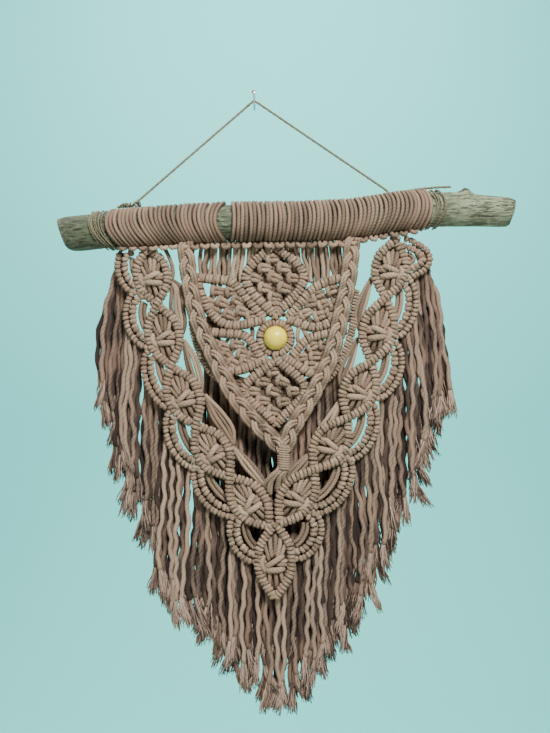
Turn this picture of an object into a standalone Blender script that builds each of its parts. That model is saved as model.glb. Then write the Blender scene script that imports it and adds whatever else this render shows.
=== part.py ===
"""Macrame wall hanging on a driftwood branch.

The hanging is drawn in its own plane in millimetres: u runs right from the work's
centre line, w runs up from the underside of the mounting turns, and out is the
distance in front of the wall. The row frame has its origin at the nail's wall end,
+X right, +Y into the wall and +Z up.
"""
import math

import bmesh
import bpy
from mathutils import Vector

# ---- driving dimensions, millimetres --------------------------------------
MM = 0.001
WORK_X, WORK_Z = 21.0, -148.0     # the work's own zero in the row frame
CLEARANCE = 0.3                   # gap between pieces that touch
CORD = 4.0                        # cotton cord
TWINE = 2.8                       # jute twine
BRANCH_OUT = 22.6                 # branch axis in front of the wall
WRAP_RADIUS = 22.1                # crest of the mounting turns
WRAP_VALLEY = 0.955               # valley between two turns, share of the crest
LASHING_RADIUS = 21.9

GARLAND_OUT, PANEL_OUT, BRAID_OUT = 24.0, 21.0, 29.6
FRINGE_FRONT, FRINGE_MIDDLE, FRINGE_BACK = 16.4, 11.0, 5.4
LEAF_BACK, ARC_BACK = 19.2, 21.9  # what hangs behind the leaves and arcs ends here
BAR_WIDTH, BAR_DEPTH = 8.8, 8.6   # a ridged bar of double half hitches
RIDGE_PITCH = 12.4                # one raised ridge for four hitches
ARC_WIDTH, ARC_DEPTH = 14.5, 7.0  # the two bars of an outer arc, side by side
STRAND = 4.6                      # a hanging fringe strand
KEEP_BARS, KEEP_BRAIDS = 0.55, 0.8        # share of faces kept after joining

BEAD_DIAMETER, BEAD_BORE = 25.0, 5.2
BEAD_CENTRE = (1.5, -98.0, 23.0)
NAIL_DIAMETER, NAIL_HEAD, NAIL_LENGTH, NAIL_RISE = 2.0, 4.6, 30.0, 12.0

# the branch: place along it, height of its axis, radius, and how much the
# section leans at the cut ends (top further out than the bottom)
BRANCH = [
    # u,     w,    radius, lean
    (-222.0, 10.5, 16.2, -11.0),
    (-216.0, 10.9, 18.6, -9.0),
    (-203.0, 11.8, 19.2, -2.0),
    (-172.0, 15.2, 19.1, 0.0),
    (-130.0, 18.7, 18.8, 0.0),
    (-90.0, 21.6, 18.9, 0.0),
    (-51.0, 23.6, 18.9, 0.0),
    (27.0, 24.4, 18.9, 0.0),
    (80.0, 26.8, 18.9, 0.0),
    (132.0, 35.0, 18.5, 0.0),
    (174.0, 37.0, 18.5, 0.0),
    (200.0, 37.4, 18.6, 0.0),
    (212.0, 36.2, 17.2, 0.0),
    (237.0, 35.0, 16.2, 2.0),
    (246.0, 34.4, 15.6, 5.0),
    (250.0, 34.2, 13.4, 6.0),
]
KNOT_U, KNOT_HEIGHT, KNOT_SPREAD = 201.0, 4.2, 6.0    # a branch stub on top

# runs of turns round the branch: from, to, turns, radius, lean at both ends
TURNS = [
    # name,          first, last,   turns, radius,         lean_first, lean_last, colour
    ("wrap_left", -164.5, -56.5, 27, WRAP_RADIUS, 17.0, 9.0, "cotton"),
    ("wrap_right", -44.5, 161.0, 48, WRAP_RADIUS, 2.0, -9.0, "cotton"),
    ("lashing_left", -184.0, -168.5, 6, LASHING_RADIUS, 12.0, 16.0, "jute"),
    ("lashing_right", 165.5, 177.5, 4, LASHING_RADIUS, -8.0, -6.0, "jute"),
]

# leaves of the garland, top to bottom on each side: where the bars cross, and
# how far each bar bows out to its side of the leaf
LEFT_CROSSINGS = [(-133, -3), (-123, -63), (-108, -128), (-82, -190), (-47, -244), (-5, -296)]
RIGHT_CROSSINGS = [(127, 5), (117, -56), (102, -123), (77, -182), (42, -236), (6, -293)]
LEAF_BOW = 17.0
POINT_LEAF = [(1, -292), (1, -371)]
POINT_BOW = 18.6

# double arcs along the garland's outer edge, and the fringe behind each:
# where it starts and ends, how far it bows, its fringe's layer, strands and
# the tips of the first and last strand
ARCS = [
    # name,            start,         end,          bow, layer,       strands, first_tip, last_tip
    ("fringe_left_1", (-158, -9), (-149, -46), 7, FRINGE_MIDDLE, 6, (-187, -176), (-157, -236)),
    ("fringe_left_2", (-147, -55), (-137, -103), 10, FRINGE_FRONT, 5, (-166, -240), (-145, -282)),
    ("fringe_left_3", (-132, -118), (-113, -167), 8, FRINGE_MIDDLE, 5, (-141, -292), (-117, -362)),
    ("fringe_left_4", (-109, -181), (-87, -230), 9, FRINGE_FRONT, 6, (-121, -366), (-92, -405)),
    ("fringe_left_5", (-81, -238), (-45, -282), 11, FRINGE_MIDDLE, 7, (-88, -398), (-53, -438)),
    ("fringe_left_6", (-41, -289), (-24, -329), 9, FRINGE_FRONT, 5, (-51, -440), (-27, -461)),
    ("fringe_right_1", (145, 0), (144, -30), 16, FRINGE_MIDDLE, 6, (187, -172), (158, -213)),
    ("fringe_right_2", (141, -41), (131, -92), 9, FRINGE_FRONT, 5, (163, -222), (143, -272)),
    ("fringe_right_3", (128, -109), (112, -157), 9, FRINGE_MIDDLE, 5, (137, -286), (115, -330)),
    ("fringe_right_4", (103, -172), (82, -222), 10, FRINGE_FRONT, 6, (117, -336), (90, -392)),
    ("fringe_right_5", (78, -231), (46, -279), 11, FRINGE_MIDDLE, 7, (86, -398), (52, -440)),
    ("fringe_right_6", (44, -288), (27, -326), 9, FRINGE_FRONT, 5, (50, -450), (28, -474)),
]
POINT_FRINGE = ("fringe_point", [(-19, -336), (1, -366), (21, -336)], 7, (-19, -464), (20, -480))

# petals of the flower: outer tip, inner tip and how far each bar bows
PETALS = [
    # outer,      inner,       bow
    ((2, -4), (2, -73), 31.0),
    ((3, -189), (3, -119), 31.0),
    ((-87, -42), (-12, -77), 21.0),
    ((90, -42), (17, -77), 21.0),
    ((-79, -108), (-11, -119), 20.0),
    ((80, -110), (14, -119), 20.0),
]
PETAL_GAPS = [(0.37, 0.04), (0.66, -0.03), (0.52, 0.40), (0.51, -0.42)]     # along, across
RING_RADIUS, RING_DEPTH = 17.2, 8.2
PANEL_EDGES = [
    [(-84, -50), (-86, -80), (-80, -108), (-66, -134), (-34, -156)],
    [(86, -47), (84, -78), (78, -104), (64, -132), (38, -156)],
]
PANEL_CORDS = [
    # first top,   last top,   first foot,  last foot,  cords
    ((-76, 6), (-32, 6), (-75, -46), (-28, -56), 7),
    ((34, 7), (77, 8), (31, -57), (80, -45), 7),
]
PANEL_FRINGE = [(-72, -126), (-34, -160), (3, -190), (40, -160), (70, -126)]

# the braids, and the cords gathered where they meet
BRAIDS = [
    [(-93, 3), (-90, -26), (-87, -47), (-83, -68), (-76, -89), (-68, -107), (-60, -124),
     (-51, -142), (-42, -158), (-30, -174), (-17, -189), (-3, -202), (8, -216)],
    [(82, 7), (79, -26), (76, -47), (71, -68), (67, -89), (62, -107), (57, -123),
     (49, -140), (41, -156), (32, -171), (24, -185), (17, -197), (12, -217)],
]
BRAID_WIDTH, BRAID_DEPTH, BRAID_LOBE = 12.6, 7.6, 5.4
GATHER = [(10, -211), (10, -235)]
GATHER_WIDTH = 13.6

# the twine: from the left binding along the top, over the nail, down behind the
# right turns and along to its end
TWINE_LEFT, TWINE_KNOT, TWINE_RIGHT, TWINE_END = -165.0, -150.0, 124.0, 186.0

# ---- colours: red, green, blue, roughness, metallic ------------------------
COLOURS = {
    "cotton": (0.50, 0.36, 0.30, 0.90, 0.0),
    "cotton_fringe": (0.42, 0.29, 0.25, 0.92, 0.0),
    "driftwood": (0.30, 0.29, 0.20, 0.80, 0.0),
    "jute": (0.22, 0.17, 0.09, 0.90, 0.0),
    "bead_wood": (0.72, 0.62, 0.16, 0.35, 0.0),
    "nail_steel": (0.75, 0.76, 0.76, 0.35, 1.0),
}


# ---- small tools -----------------------------------------------------------
def at(u, w, out):
    """A point of the work, in metres in the row frame."""
    return Vector((WORK_X + u, -out, WORK_Z + w)) * MM


def finish(name, mesh_or_bmesh, colour):
    """One named object with its own Principled material."""
    if isinstance(mesh_or_bmesh, bmesh.types.BMesh):
        mesh = bpy.data.meshes.new(name)
        bmesh.ops.recalc_face_normals(mesh_or_bmesh, faces=mesh_or_bmesh.faces)
        mesh_or_bmesh.to_mesh(mesh)
        mesh_or_bmesh.free()
    else:
        mesh = mesh_or_bmesh
    mesh.shade_smooth()
    mesh.set_sharp_from_angle(angle=math.radians(50))
    material = bpy.data.materials.new(name)
    material.use_nodes = True
    shader = material.node_tree.nodes["Principled BSDF"]
    red, green, blue, roughness, metallic = COLOURS[colour]
    shader.inputs["Base Color"].default_value = (red, green, blue, 1.0)
    shader.inputs["Roughness"].default_value = roughness
    shader.inputs["Metallic"].default_value = metallic
    mesh.materials.clear()
    mesh.materials.append(material)
    piece = bpy.data.objects.new(name, mesh)
    bpy.context.collection.objects.link(piece)
    return piece


def smooth_path(points, steps):
    """steps + 1 evenly spaced points of a smooth curve through the given ones."""
    ends = [points[0] * 2 - points[1]] + points + [points[-1] * 2 - points[-2]]
    fine = []
    for before, start, end, after in zip(ends, ends[1:], ends[2:], ends[3:]):
        for part in range(12):
            t = part / 12
            fine.append(0.5 * (2 * start + (end - before) * t
                               + (2 * before - 5 * start + 4 * end - after) * t * t
                               + (3 * start - before - 3 * end + after) * t ** 3))
    fine.append(points[-1])
    reach = [0.0]
    for start, end in zip(fine, fine[1:]):
        reach.append(reach[-1] + (end - start).length)
    path, place = [], 0
    for step in range(steps + 1):
        goal = reach[-1] * step / steps
        while place < len(fine) - 2 and reach[place + 1] < goal:
            place += 1
        span = max(reach[place + 1] - reach[place], 1e-9)
        path.append(fine[place].lerp(fine[place + 1], min(1.0, (goal - reach[place]) / span)))
    return path


def path_length(points):
    return sum((end - start).length for start, end in zip(points, points[1:]))


def ring_of(n, turn=math.pi / 2):
    """A round section of n points, as side and front shares of its half sizes."""
    return [(math.cos(turn + math.tau * k / n), math.sin(turn + math.tau * k / n))
            for k in range(n)]


def sweep(path, section, sizes):
    """Extrude a section along a path. sizes gives each ring's half width and half depth."""
    front = Vector((0, -1, 0))
    rings = []
    for index, point in enumerate(path):
        along = path[min(index + 1, len(path) - 1)] - path[max(index - 1, 0)]
        side = along.cross(front).normalized()
        out = side.cross(along).normalized()
        half_width, half_depth = sizes[index]
        shape = section[index % len(section)] if isinstance(section[0], list) else section
        rings.append([point + side * (s * half_width * MM) + out * (f * half_depth * MM)
                      for s, f in shape])
    return extrude_rings(rings)


def extrude_rings(rings):
    """A closed tube through the rings, its first and last ring filled."""
    shape = bmesh.new()
    first = [shape.verts.new(point) for point in rings[0]]
    face = shape.faces.new(first)
    for ring in rings[1:]:
        face = bmesh.ops.extrude_discrete_faces(shape, faces=[face])["faces"][0]
        for vert, point in zip(face.verts, ring):
            vert.co = point
    shape.faces.new(list(reversed(first)))
    return shape


def ridged_bar(points, width=BAR_WIDTH, depth=BAR_DEPTH, pitch=RIDGE_PITCH, section=None):
    """A bar of hitches: its radius swells at each ridge and dips between them."""
    ridges = max(2, round(path_length(points) / MM / pitch))
    path = smooth_path(points, ridges * 2)
    sizes = []
    for index in range(len(path)):
        swell = 1.0 if index % 2 else 0.78
        sizes.append((width / 2 * swell, depth / 2 * swell))
    return sweep(path, section or ring_of(4), sizes)


def plain_cord(points, steps, diameter=CORD, sides=4, taper=1.0):
    path = smooth_path(points, steps)
    sizes = [(diameter / 2 * (1 + (taper - 1) * index / steps),) * 2 for index in range(steps + 1)]
    return sweep(path, ring_of(sides, math.pi / 4), sizes)


def without_bubbles(mesh):
    """Keep the outer surface alone: bars that cross can shut in a small bubble of air."""
    shape = bmesh.new()
    shape.from_mesh(mesh)
    left, shells = set(shape.verts), []
    while left:
        shell, rim = set(), {next(iter(left))}
        while rim:
            vert = rim.pop()
            shell.add(vert)
            rim |= {edge.other_vert(vert) for edge in vert.link_edges} - shell
        left -= shell
        shells.append(shell)
    for bubble in sorted(shells, key=len)[:-1]:
        bmesh.ops.delete(shape, geom=list(bubble), context="VERTS")
    shape.to_mesh(mesh)
    shape.free()
    return mesh


def fuse(name, shapes, colour, cutters=(), keep=1.0):
    """Join overlapping shapes into one closed solid, cut it, and thin its small slivers.

    The hitches bend back on themselves, which the exact solver leaves open, so the
    joins and cuts use the manifold one: every shape here is a closed tube.
    """
    parts = [finish(f"{name}_part_{number}", shape, colour)
             for number, shape in enumerate(list(shapes) + list(cutters))]
    base = parts[0]
    for number, part in enumerate(parts[1:], 1):
        join = base.modifiers.new(part.name, "BOOLEAN")
        join.operation = "UNION" if number < len(shapes) else "DIFFERENCE"
        join.solver, join.object = "MANIFOLD", part
    scene = bpy.context.evaluated_depsgraph_get()
    mesh = bpy.data.meshes.new_from_object(base.evaluated_get(scene))
    for part in parts:
        bpy.data.objects.remove(part)
    mesh.name = name
    piece = finish(name, without_bubbles(mesh), colour)
    if keep < 1.0:
        thin = piece.modifiers.new("thin", "DECIMATE")
        thin.decimate_type, thin.ratio, thin.use_collapse_triangulate = "COLLAPSE", keep, True
    return piece


# ---- the branch and what is wound round it ----------------------------------
def branch_at(u):
    """Height of the branch's axis and its radius at u."""
    for (u0, w0, r0, _), (u1, w1, r1, _) in zip(BRANCH, BRANCH[1:]):
        if u <= u1:
            share = max(0.0, min(1.0, (u - u0) / (u1 - u0)))
            return w0 + (w1 - w0) * share, r0 + (r1 - r0) * share
    return BRANCH[-1][1], BRANCH[-1][2]


def round_ring(u, radius, lean, sides):
    """A ring round the branch's axis; lean carries its top one way, its foot the other."""
    ring = []
    for k in range(sides):
        angle = math.tau * k / sides
        place = u + lean / 2 * math.cos(angle)
        axis, _ = branch_at(place)
        ring.append(at(place, axis + radius * math.cos(angle), BRANCH_OUT + radius * math.sin(angle)))
    return ring


def branch_shape(grow=0.0):
    rings = []
    for index, (u, _, radius, lean) in enumerate(BRANCH):
        ring = round_ring(u, radius + grow, lean, 12)
        for k, point in enumerate(ring):
            flat = 0.5 * math.sin(2.1 * index + 2.6 * k) if abs(u) > 180 and not grow else 0.0
            bump = KNOT_HEIGHT * math.exp(-((u - KNOT_U) / KNOT_SPREAD) ** 2)
            rise = bump * max(0.0, math.cos(math.tau * k / 12 - 0.35)) ** 2
            point.z += (flat + rise) * MM * math.cos(math.tau * k / 12)
            point.y -= flat * MM * math.sin(math.tau * k / 12)
        rings.append(ring)
    return extrude_rings(rings)


def turns_shape(first, last, turns, radius, lean_first, lean_last, sides=8):
    rings = []
    for index in range(turns * 2 + 1):
        share = index / (turns * 2)
        crest = radius if index % 2 else radius * WRAP_VALLEY
        lean = lean_first + (lean_last - lean_first) * share
        rings.append(round_ring(first + (last - first) * share, crest, -lean, sides))
    return extrude_rings(rings)


def wrap_clearance():
    """The room the mounting turns take, with the gap that the cloth keeps to them."""
    rings = []
    for u in range(-175, 176, 14):
        rings.append(round_ring(u, WRAP_RADIUS + CLEARANCE + 0.1, 0, 16))
    return extrude_rings(rings)


# ---- the garland --------------------------------------------------------------
def long_bar(crossings, sign, bow, out):
    """A bar that swings from side to side, crossing its partner between two leaves."""
    points = []
    for leaf, (top, foot) in enumerate(zip(crossings, crossings[1:])):
        start, axis = Vector(top), Vector(foot) - Vector(top)
        side = Vector((-axis.y, axis.x)).normalized() * (-bow * sign * (-1) ** leaf)
        for t in (0.0, 0.18, 0.36, 0.64, 0.82):
            place = start + axis * t + side * math.sin(math.pi * t)
            over = 1.2 * sign * math.cos(math.pi * (leaf + t))
            points.append(at(place.x, place.y, out + over))
    last = Vector(crossings[-1])
    points.append(at(last.x, last.y, out))
    return points


def leaf_filling(top, foot, bow, out):
    """Cords that fan in to a square knot and out again, with the knot raised in the middle."""
    start, axis = Vector(top), Vector(foot) - Vector(top)
    table = [
        # along, half width, height
        (0.15, 6.0, 1.8),
        (0.28, 12.6, 2.0),
        (0.38, 9.0, 2.6),
        (0.44, 9.8, 5.0),
        (0.50, 9.0, 3.4),
        (0.56, 9.8, 5.0),
        (0.63, 9.0, 2.6),
        (0.74, 12.6, 2.0),
        (0.86, 6.0, 1.8),
    ]
    scale = bow / LEAF_BOW
    path = [at(*(start + axis * along), out - 0.6) for along, _, _ in table]
    section = [(-1, 0), (-0.5, 1), (0.5, 1), (1, 0), (0, -0.8)]
    return sweep(path, section, [(half * scale, height) for _, half, height in table])


def arc_points(start, end, bow, share=1.0, tuck=9.0):
    """The line of an outer arc, both ends turned in to the leaves' bars."""
    start, end = Vector(start), Vector(end)
    axis = (end - start).normalized()
    sign = 1 if (start.x + end.x) > 0 else -1
    outward = Vector((-axis.y, axis.x)) * sign
    middle = (start + end) / 2
    quarter = (end - start) / 4
    return [start - outward * tuck - axis * 3, start + outward * 0.5,
            middle - quarter + outward * (bow * 0.8 * share), middle + outward * (bow * share),
            middle + quarter + outward * (bow * 0.8 * share), end + outward * 0.5,
            end - outward * tuck + axis * 4]


def build_garland(clearance):
    shapes = []
    for crossings in (LEFT_CROSSINGS, RIGHT_CROSSINGS):
        for sign in (1, -1):
            head = Vector(crossings[0])
            points = [at(head.x + 2.5 * sign, head.y + 9, GARLAND_OUT + 1.2 * sign)]
            points += long_bar(crossings, sign, LEAF_BOW, GARLAND_OUT)
            shapes.append(ridged_bar(points))
        for top, foot in zip(crossings, crossings[1:]):
            shapes.append(leaf_filling(top, foot, LEAF_BOW, GARLAND_OUT))
    for sign in (1, -1):
        shapes.append(ridged_bar(long_bar(POINT_LEAF, sign, POINT_BOW, GARLAND_OUT)))
    shapes.append(leaf_filling(*POINT_LEAF, POINT_BOW, GARLAND_OUT))
    pair = [(-1, -0.5), (-0.6, 1), (0, 0.2), (0.6, 1), (1, -0.5)]
    for _, start, end, bow, *_ in ARCS:
        line = [at(*point, GARLAND_OUT) for point in arc_points(start, end, bow)]
        shapes.append(ridged_bar(line, ARC_WIDTH, ARC_DEPTH, section=pair))
    return fuse("garland", shapes, "cotton", [clearance], KEEP_BARS)


# ---- the flower panel and its bead --------------------------------------------
def petal_swing(t, bow):
    """How far a bar stands off its petal's axis: the large petals are diamonds, the small ones ovals."""
    return bow * abs(math.sin(math.pi * t)) ** (1.0 if bow > 25 else 0.8)


def petal_line(outer, inner, bow, sign):
    start, axis = Vector(outer), Vector(inner) - Vector(outer)
    side = Vector((-axis.y, axis.x)).normalized() * sign
    points = []
    for t in (-0.03, 0.14, 0.34, 0.5, 0.68, 0.86, 1.03):
        points.append(start + axis * t + side * math.copysign(petal_swing(t, bow), t * (1 - t)))
    return points


def petal_filling(outer, inner, bow, out):
    """Rows of small square knots, each a lump set between those of the next row."""
    start, axis = Vector(outer), Vector(inner) - Vector(outer)
    path, sizes, sections = [], [], []
    for row in range(5):
        t = 0.16 + 0.17 * row
        path.append(at(*(start + axis * t), out - 0.4))
        sizes.append((petal_swing(t, bow) - 0.5, 2.6))
        lumps = [1.3 if (knot + row) % 2 else 0.3 for knot in range(3)]
        sections.append([(-1, 0)] + [(0.5 * knot - 0.5, lump) for knot, lump in enumerate(lumps)]
                        + [(1, 0), (0, -0.9)])
    return sweep(path, sections, sizes)


def build_panel(clearance):
    shapes, holes = [], []
    for number, (outer, inner, bow) in enumerate(PETALS):
        for sign in (1, -1):
            over = 0.35 * sign + 0.13 * number - 0.3
            line = [at(*point, PANEL_OUT + over) for point in petal_line(outer, inner, bow, sign)]
            shapes.append(ridged_bar(line, 8.2, 8.0))
        shapes.append(petal_filling(outer, inner, bow, PANEL_OUT))
        start, axis = Vector(outer), Vector(inner) - Vector(outer)
        side = Vector((-axis.y, axis.x)).normalized()
        gaps = PETAL_GAPS if bow > 20 else PETAL_GAPS[:3]
        for t, share in gaps:
            spot = start + axis * t + side * bow * share
            path = [at(spot.x, spot.y, PANEL_OUT + step) for step in (-8, 8)]
            holes.append(upright_hole(path, 2.3))
    ring = []
    for k in range(33):
        angle = math.tau * k / 32
        ring.append(Vector((BEAD_CENTRE[0] + RING_RADIUS * math.sin(angle),
                            BEAD_CENTRE[1] + RING_RADIUS * math.cos(angle))))
    for half, over in ((ring[:18], 0.6), (ring[15:33] + ring[1:3], -0.2)):
        shapes.append(ridged_bar([at(*point, PANEL_OUT + over) for point in half], 8.2, RING_DEPTH))
    for line in PANEL_EDGES:
        shapes.append(ridged_bar([at(*point, PANEL_OUT - 0.8) for point in line], 8.2, 8.0))
    for first_top, last_top, first_foot, last_foot, cords in PANEL_CORDS:
        for k in range(cords):
            share = k / (cords - 1)
            top = Vector(first_top).lerp(Vector(last_top), share)
            foot = Vector(first_foot).lerp(Vector(last_foot), share)
            middle = (top + foot) / 2 + Vector((0.8 * math.sin(2.3 * k), 0))
            line = [at(*top, PANEL_OUT + 1), at(*middle, PANEL_OUT + 1), at(*foot, PANEL_OUT - 0.7)]
            shapes.append(plain_cord(line, 2))
    top_bar = [(-27, 3), (-14, 1), (2, 2), (18, 2), (30, 4)]
    shapes.append(ridged_bar([at(*point, PANEL_OUT) for point in top_bar], 8.2, 8.0))
    u, w, out = BEAD_CENTRE
    through = [at(u, w + RING_RADIUS, out), at(u, w, out), at(u, w - RING_RADIUS, out)]
    shapes.append(sweep(through, ring_of(8), [(2.2, 2.2)] * 3))
    return fuse("flower_panel", shapes, "cotton", [clearance] + holes, KEEP_BARS)


def upright_hole(path, half):
    """A four-sided plug across the cloth, to cut an open gap."""
    rings = []
    for point in path:
        rings.append([point + Vector((half * x, 0, half * z)) * MM
                      for x, z in ((1, 0.09), (-0.06, 1.15), (-1, -0.08), (0.05, -1.15))])
    return extrude_rings(rings)


def build_bead():
    """A ball turned with its bore: the profile is spun once round the upright axis."""
    u, w, out = BEAD_CENTRE
    radius, bore = BEAD_DIAMETER / 2, BEAD_BORE / 2
    limit = math.acos(bore / radius)
    shape = bmesh.new()
    profile = []
    for k in range(9):
        angle = limit * (k / 4 - 1)
        profile.append(shape.verts.new(at(u + radius * math.cos(angle), w + radius * math.sin(angle), out)))
    edges = [shape.edges.new(pair) for pair in zip(profile, profile[1:] + profile[:1])]
    bmesh.ops.spin(shape, geom=profile + edges, cent=at(*BEAD_CENTRE), axis=(0, 0, 1),
                   angle=math.tau, steps=12, use_merge=True)
    bmesh.ops.remove_doubles(shape, verts=shape.verts, dist=1e-6)
    return finish("bead", shape, "bead_wood")


# ---- braids, gathering knot and tassel ------------------------------------------
def braid_shape(line):
    """A plait seen from the front: its lobes stand out to the left and right in turn."""
    points = [at(u, w, BRAID_OUT) for u, w in line]
    steps = round(path_length(points) / MM / BRAID_LOBE)
    left = [(-1, 0), (-0.55, 0.95), (0.1, 0.5), (0.75, 0), (0.45, -0.8), (-0.6, -0.9)]
    right = [(-0.75, 0), (-0.1, 0.5), (0.55, 0.95), (1, 0), (0.6, -0.9), (-0.45, -0.8)]
    sizes = [(BRAID_WIDTH / 2, BRAID_DEPTH / 2)] * (steps + 1)
    return sweep(smooth_path(points, steps), [left, right], sizes)


def build_braids(clearance):
    shapes = [braid_shape(line) for line in BRAIDS]
    knot = [at(*point, BRAID_OUT - 0.6) for point in GATHER]
    shapes.append(ridged_bar(knot, GATHER_WIDTH, 12.0, 4.0, ring_of(6)))
    for k in range(4):
        spread = (k - 1.5) * 5.0
        line = [at(10 + spread * 0.4, -229, BRAID_OUT - 2), at(9 + spread, -239, 21.5),
                at(8.5 + spread * 1.1, -247, 16.6), at(8 + spread * 1.15, -257 - 3 * (k % 3), 15.4)]
        shapes.append(plain_cord(line, 4, 4.2, 4, 0.8))
    return fuse("braids", shapes, "cotton", [clearance], KEEP_BRAIDS)


# ---- fringe ------------------------------------------------------------------------
def strand_shape(root, tip, layer, number, root_out=None):
    """One hanging strand: it leaves its root outwards and soon hangs straight, a little wavy."""
    points = []
    for k in range(6):
        t = k / 5
        lean = 1 - (1 - t) ** 2.4
        wave = 1.1 * math.sin(2.1 * number + 5.2 * t) * t
        sink = min(1.0, t * 3) if root_out else 1.0
        out = (root_out or layer) + (layer - (root_out or layer)) * sink
        points.append(at(root.x + (tip[0] - root.x) * lean + wave, root.y + (tip[1] - root.y) * t, out))
    path = smooth_path(points, 4)
    sizes = [(STRAND / 2 * scale,) * 2 for scale in (0.95, 1.03, 0.97, 1.25, 0.8)]
    return sweep(path, ring_of(3), sizes)


def strip_shape(line, layer, seat, half=2.6, steps=4):
    """The narrow backing behind an arc; its middle stands out to seat against the garland."""
    near, far = layer - STRAND / 2, layer + STRAND / 2
    flat = smooth_path([at(*point, 0) for point in line], steps)
    path, sizes = [], []
    for index, point in enumerate(flat):
        front = seat if index == steps // 2 else far
        path.append(point + Vector((0, -(near + front) / 2, 0)) * MM)
        sizes.append((half, (front - near) / 2))
    return sweep(path, [(-1, -1), (1, -1), (1, 1), (-1, 1)], sizes)


def spread_of_roots(line, strands):
    path = smooth_path([Vector((*point, 0)) for point in line], (strands - 1) * 2)
    return path[::2]


def build_fringe():
    for name, start, end, bow, layer, strands, first_tip, last_tip in ARCS:
        line = arc_points(start, end, bow)[1:-1]
        shapes = [strip_shape(line, layer, ARC_BACK)]
        for k, root in enumerate(spread_of_roots(line, strands)):
            share = k / (strands - 1)
            tip = Vector(first_tip).lerp(Vector(last_tip), share)
            tip.y += 4.5 * math.sin(2.9 * k + start[0])
            shapes.append(strand_shape(root, tip, layer, k + 4))
        fuse(name, shapes, "cotton_fringe")
    name, line, strands, first_tip, last_tip = POINT_FRINGE
    shapes = [strip_shape(line, FRINGE_MIDDLE, LEAF_BACK)]
    for k, root in enumerate(spread_of_roots(line, strands)):
        share = k / (strands - 1)
        tip = Vector(first_tip).lerp(Vector(last_tip), share)
        tip.y -= 22 * math.sin(math.pi * share)
        shapes.append(strand_shape(root, tip, FRINGE_MIDDLE, k))
    fuse(name, shapes, "cotton_fringe")


def build_panel_fringe():
    """The cords that hang on behind the garland from the flower panel's lower edge."""
    back = PANEL_OUT - 4.6 - CLEARANCE
    path = smooth_path([at(*point, back - 1.8) for point in PANEL_FRINGE], 12)
    shapes = [sweep(path, [(-1, -1), (1, -1), (1, 1), (-1, 1)], [(3.0, 1.8)] * len(path))]
    roots = spread_of_roots(PANEL_FRINGE, 12)
    for k, root in enumerate(roots):
        u = -78 + 14.2 * k
        drop = -300 - 130 * math.cos((u - 3) / 130)
        shapes.append(strand_shape(root, (u * 0.94, drop), FRINGE_BACK, k, back - 1.8))
    return fuse("fringe_panel", shapes, "cotton_fringe")


# ---- nail and twine ----------------------------------------------------------------
def build_nail():
    """A round nail driven in at a slant, cut flush where it enters the wall."""
    rise = NAIL_RISE / NAIL_LENGTH
    along = Vector((0, -1, rise)).normalized()
    up = Vector((1, 0, 0)).cross(along).normalized()
    rings = []
    for out, radius in ((-2, NAIL_DIAMETER / 2), (NAIL_LENGTH, NAIL_DIAMETER / 2),
                        (NAIL_LENGTH, NAIL_HEAD / 2), (NAIL_LENGTH + 0.9, NAIL_HEAD / 2)):
        centre = Vector((0, -out, out * rise)) * MM
        rings.append([centre + (Vector((1, 0, 0)) * math.cos(math.tau * k / 12)
                                + up * math.sin(math.tau * k / 12)) * radius * MM for k in range(12)])
    shape = extrude_rings(rings)
    bmesh.ops.recalc_face_normals(shape, faces=shape.faces)
    cut = bmesh.ops.bisect_plane(shape, geom=shape.verts[:] + shape.edges[:] + shape.faces[:],
                                 plane_co=(0, 0, 0), plane_no=(0, 1, 0), clear_outer=True)
    rim = [edge for edge in cut["geom_cut"] if isinstance(edge, bmesh.types.BMEdge)]
    bmesh.ops.contextual_create(shape, geom=rim)
    return finish("nail", shape, "nail_steel")


def build_twine():
    def on_top(u, radius, out):
        w, _ = branch_at(u)
        back = out - BRANCH_OUT
        gap = radius + CLEARANCE + TWINE / 2
        return at(u, w + math.sqrt(gap * gap - back * back), out)

    hook_out = 9.0
    nail_w = -WORK_Z + hook_out * NAIL_RISE / NAIL_LENGTH
    bend = NAIL_DIAMETER / 2 * 1.12 + CLEARANCE + TWINE / 2
    over = [at(-WORK_X + bend * math.sin(math.radians(angle)),
               nail_w + bend * math.cos(math.radians(angle)), hook_out)
            for angle in (-40, -20, 0, 18, 34)]
    radius = WRAP_RADIUS + 0.1
    start, knot = on_top(TWINE_LEFT, radius, 22.0), on_top(TWINE_KNOT, radius, 21.0)
    left_foot = on_top(TWINE_KNOT, radius, 20.0) + Vector((6, 0, 5)) * MM
    right_foot = on_top(TWINE_RIGHT, radius, 13.0)
    right_run = [on_top(u, radius, out) for u, out in ((140, 14.5), (156, 18.0), (172, 20.5), (TWINE_END, 21.5))]
    path = smooth_path([start, on_top(-157, radius, 21.5), knot, left_foot], 8)
    swell = [1.0, 1.0, 1.15, 0.95, 1.25, 2.0, 1.45, 2.1, 1.1]
    path = [point + Vector((0, 0, (size - 1) * TWINE / 2 * MM)) for point, size in zip(path, swell)]
    rise = [left_foot.lerp(over[0], t) for t in (0.25, 0.5, 0.75, 0.97)]
    fall = [over[-1].lerp(right_foot, t) for t in (0.03, 0.25, 0.5, 0.75, 0.94)]
    path += rise + over + fall + smooth_path([right_foot] + right_run, 8)
    sizes = [(TWINE / 2 * size,) * 2 for size in swell] + [(TWINE / 2,) * 2] * (len(path) - len(swell))
    shape = sweep(path, ring_of(6), sizes)
    return finish("hanger_twine", shape, "jute")


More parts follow.
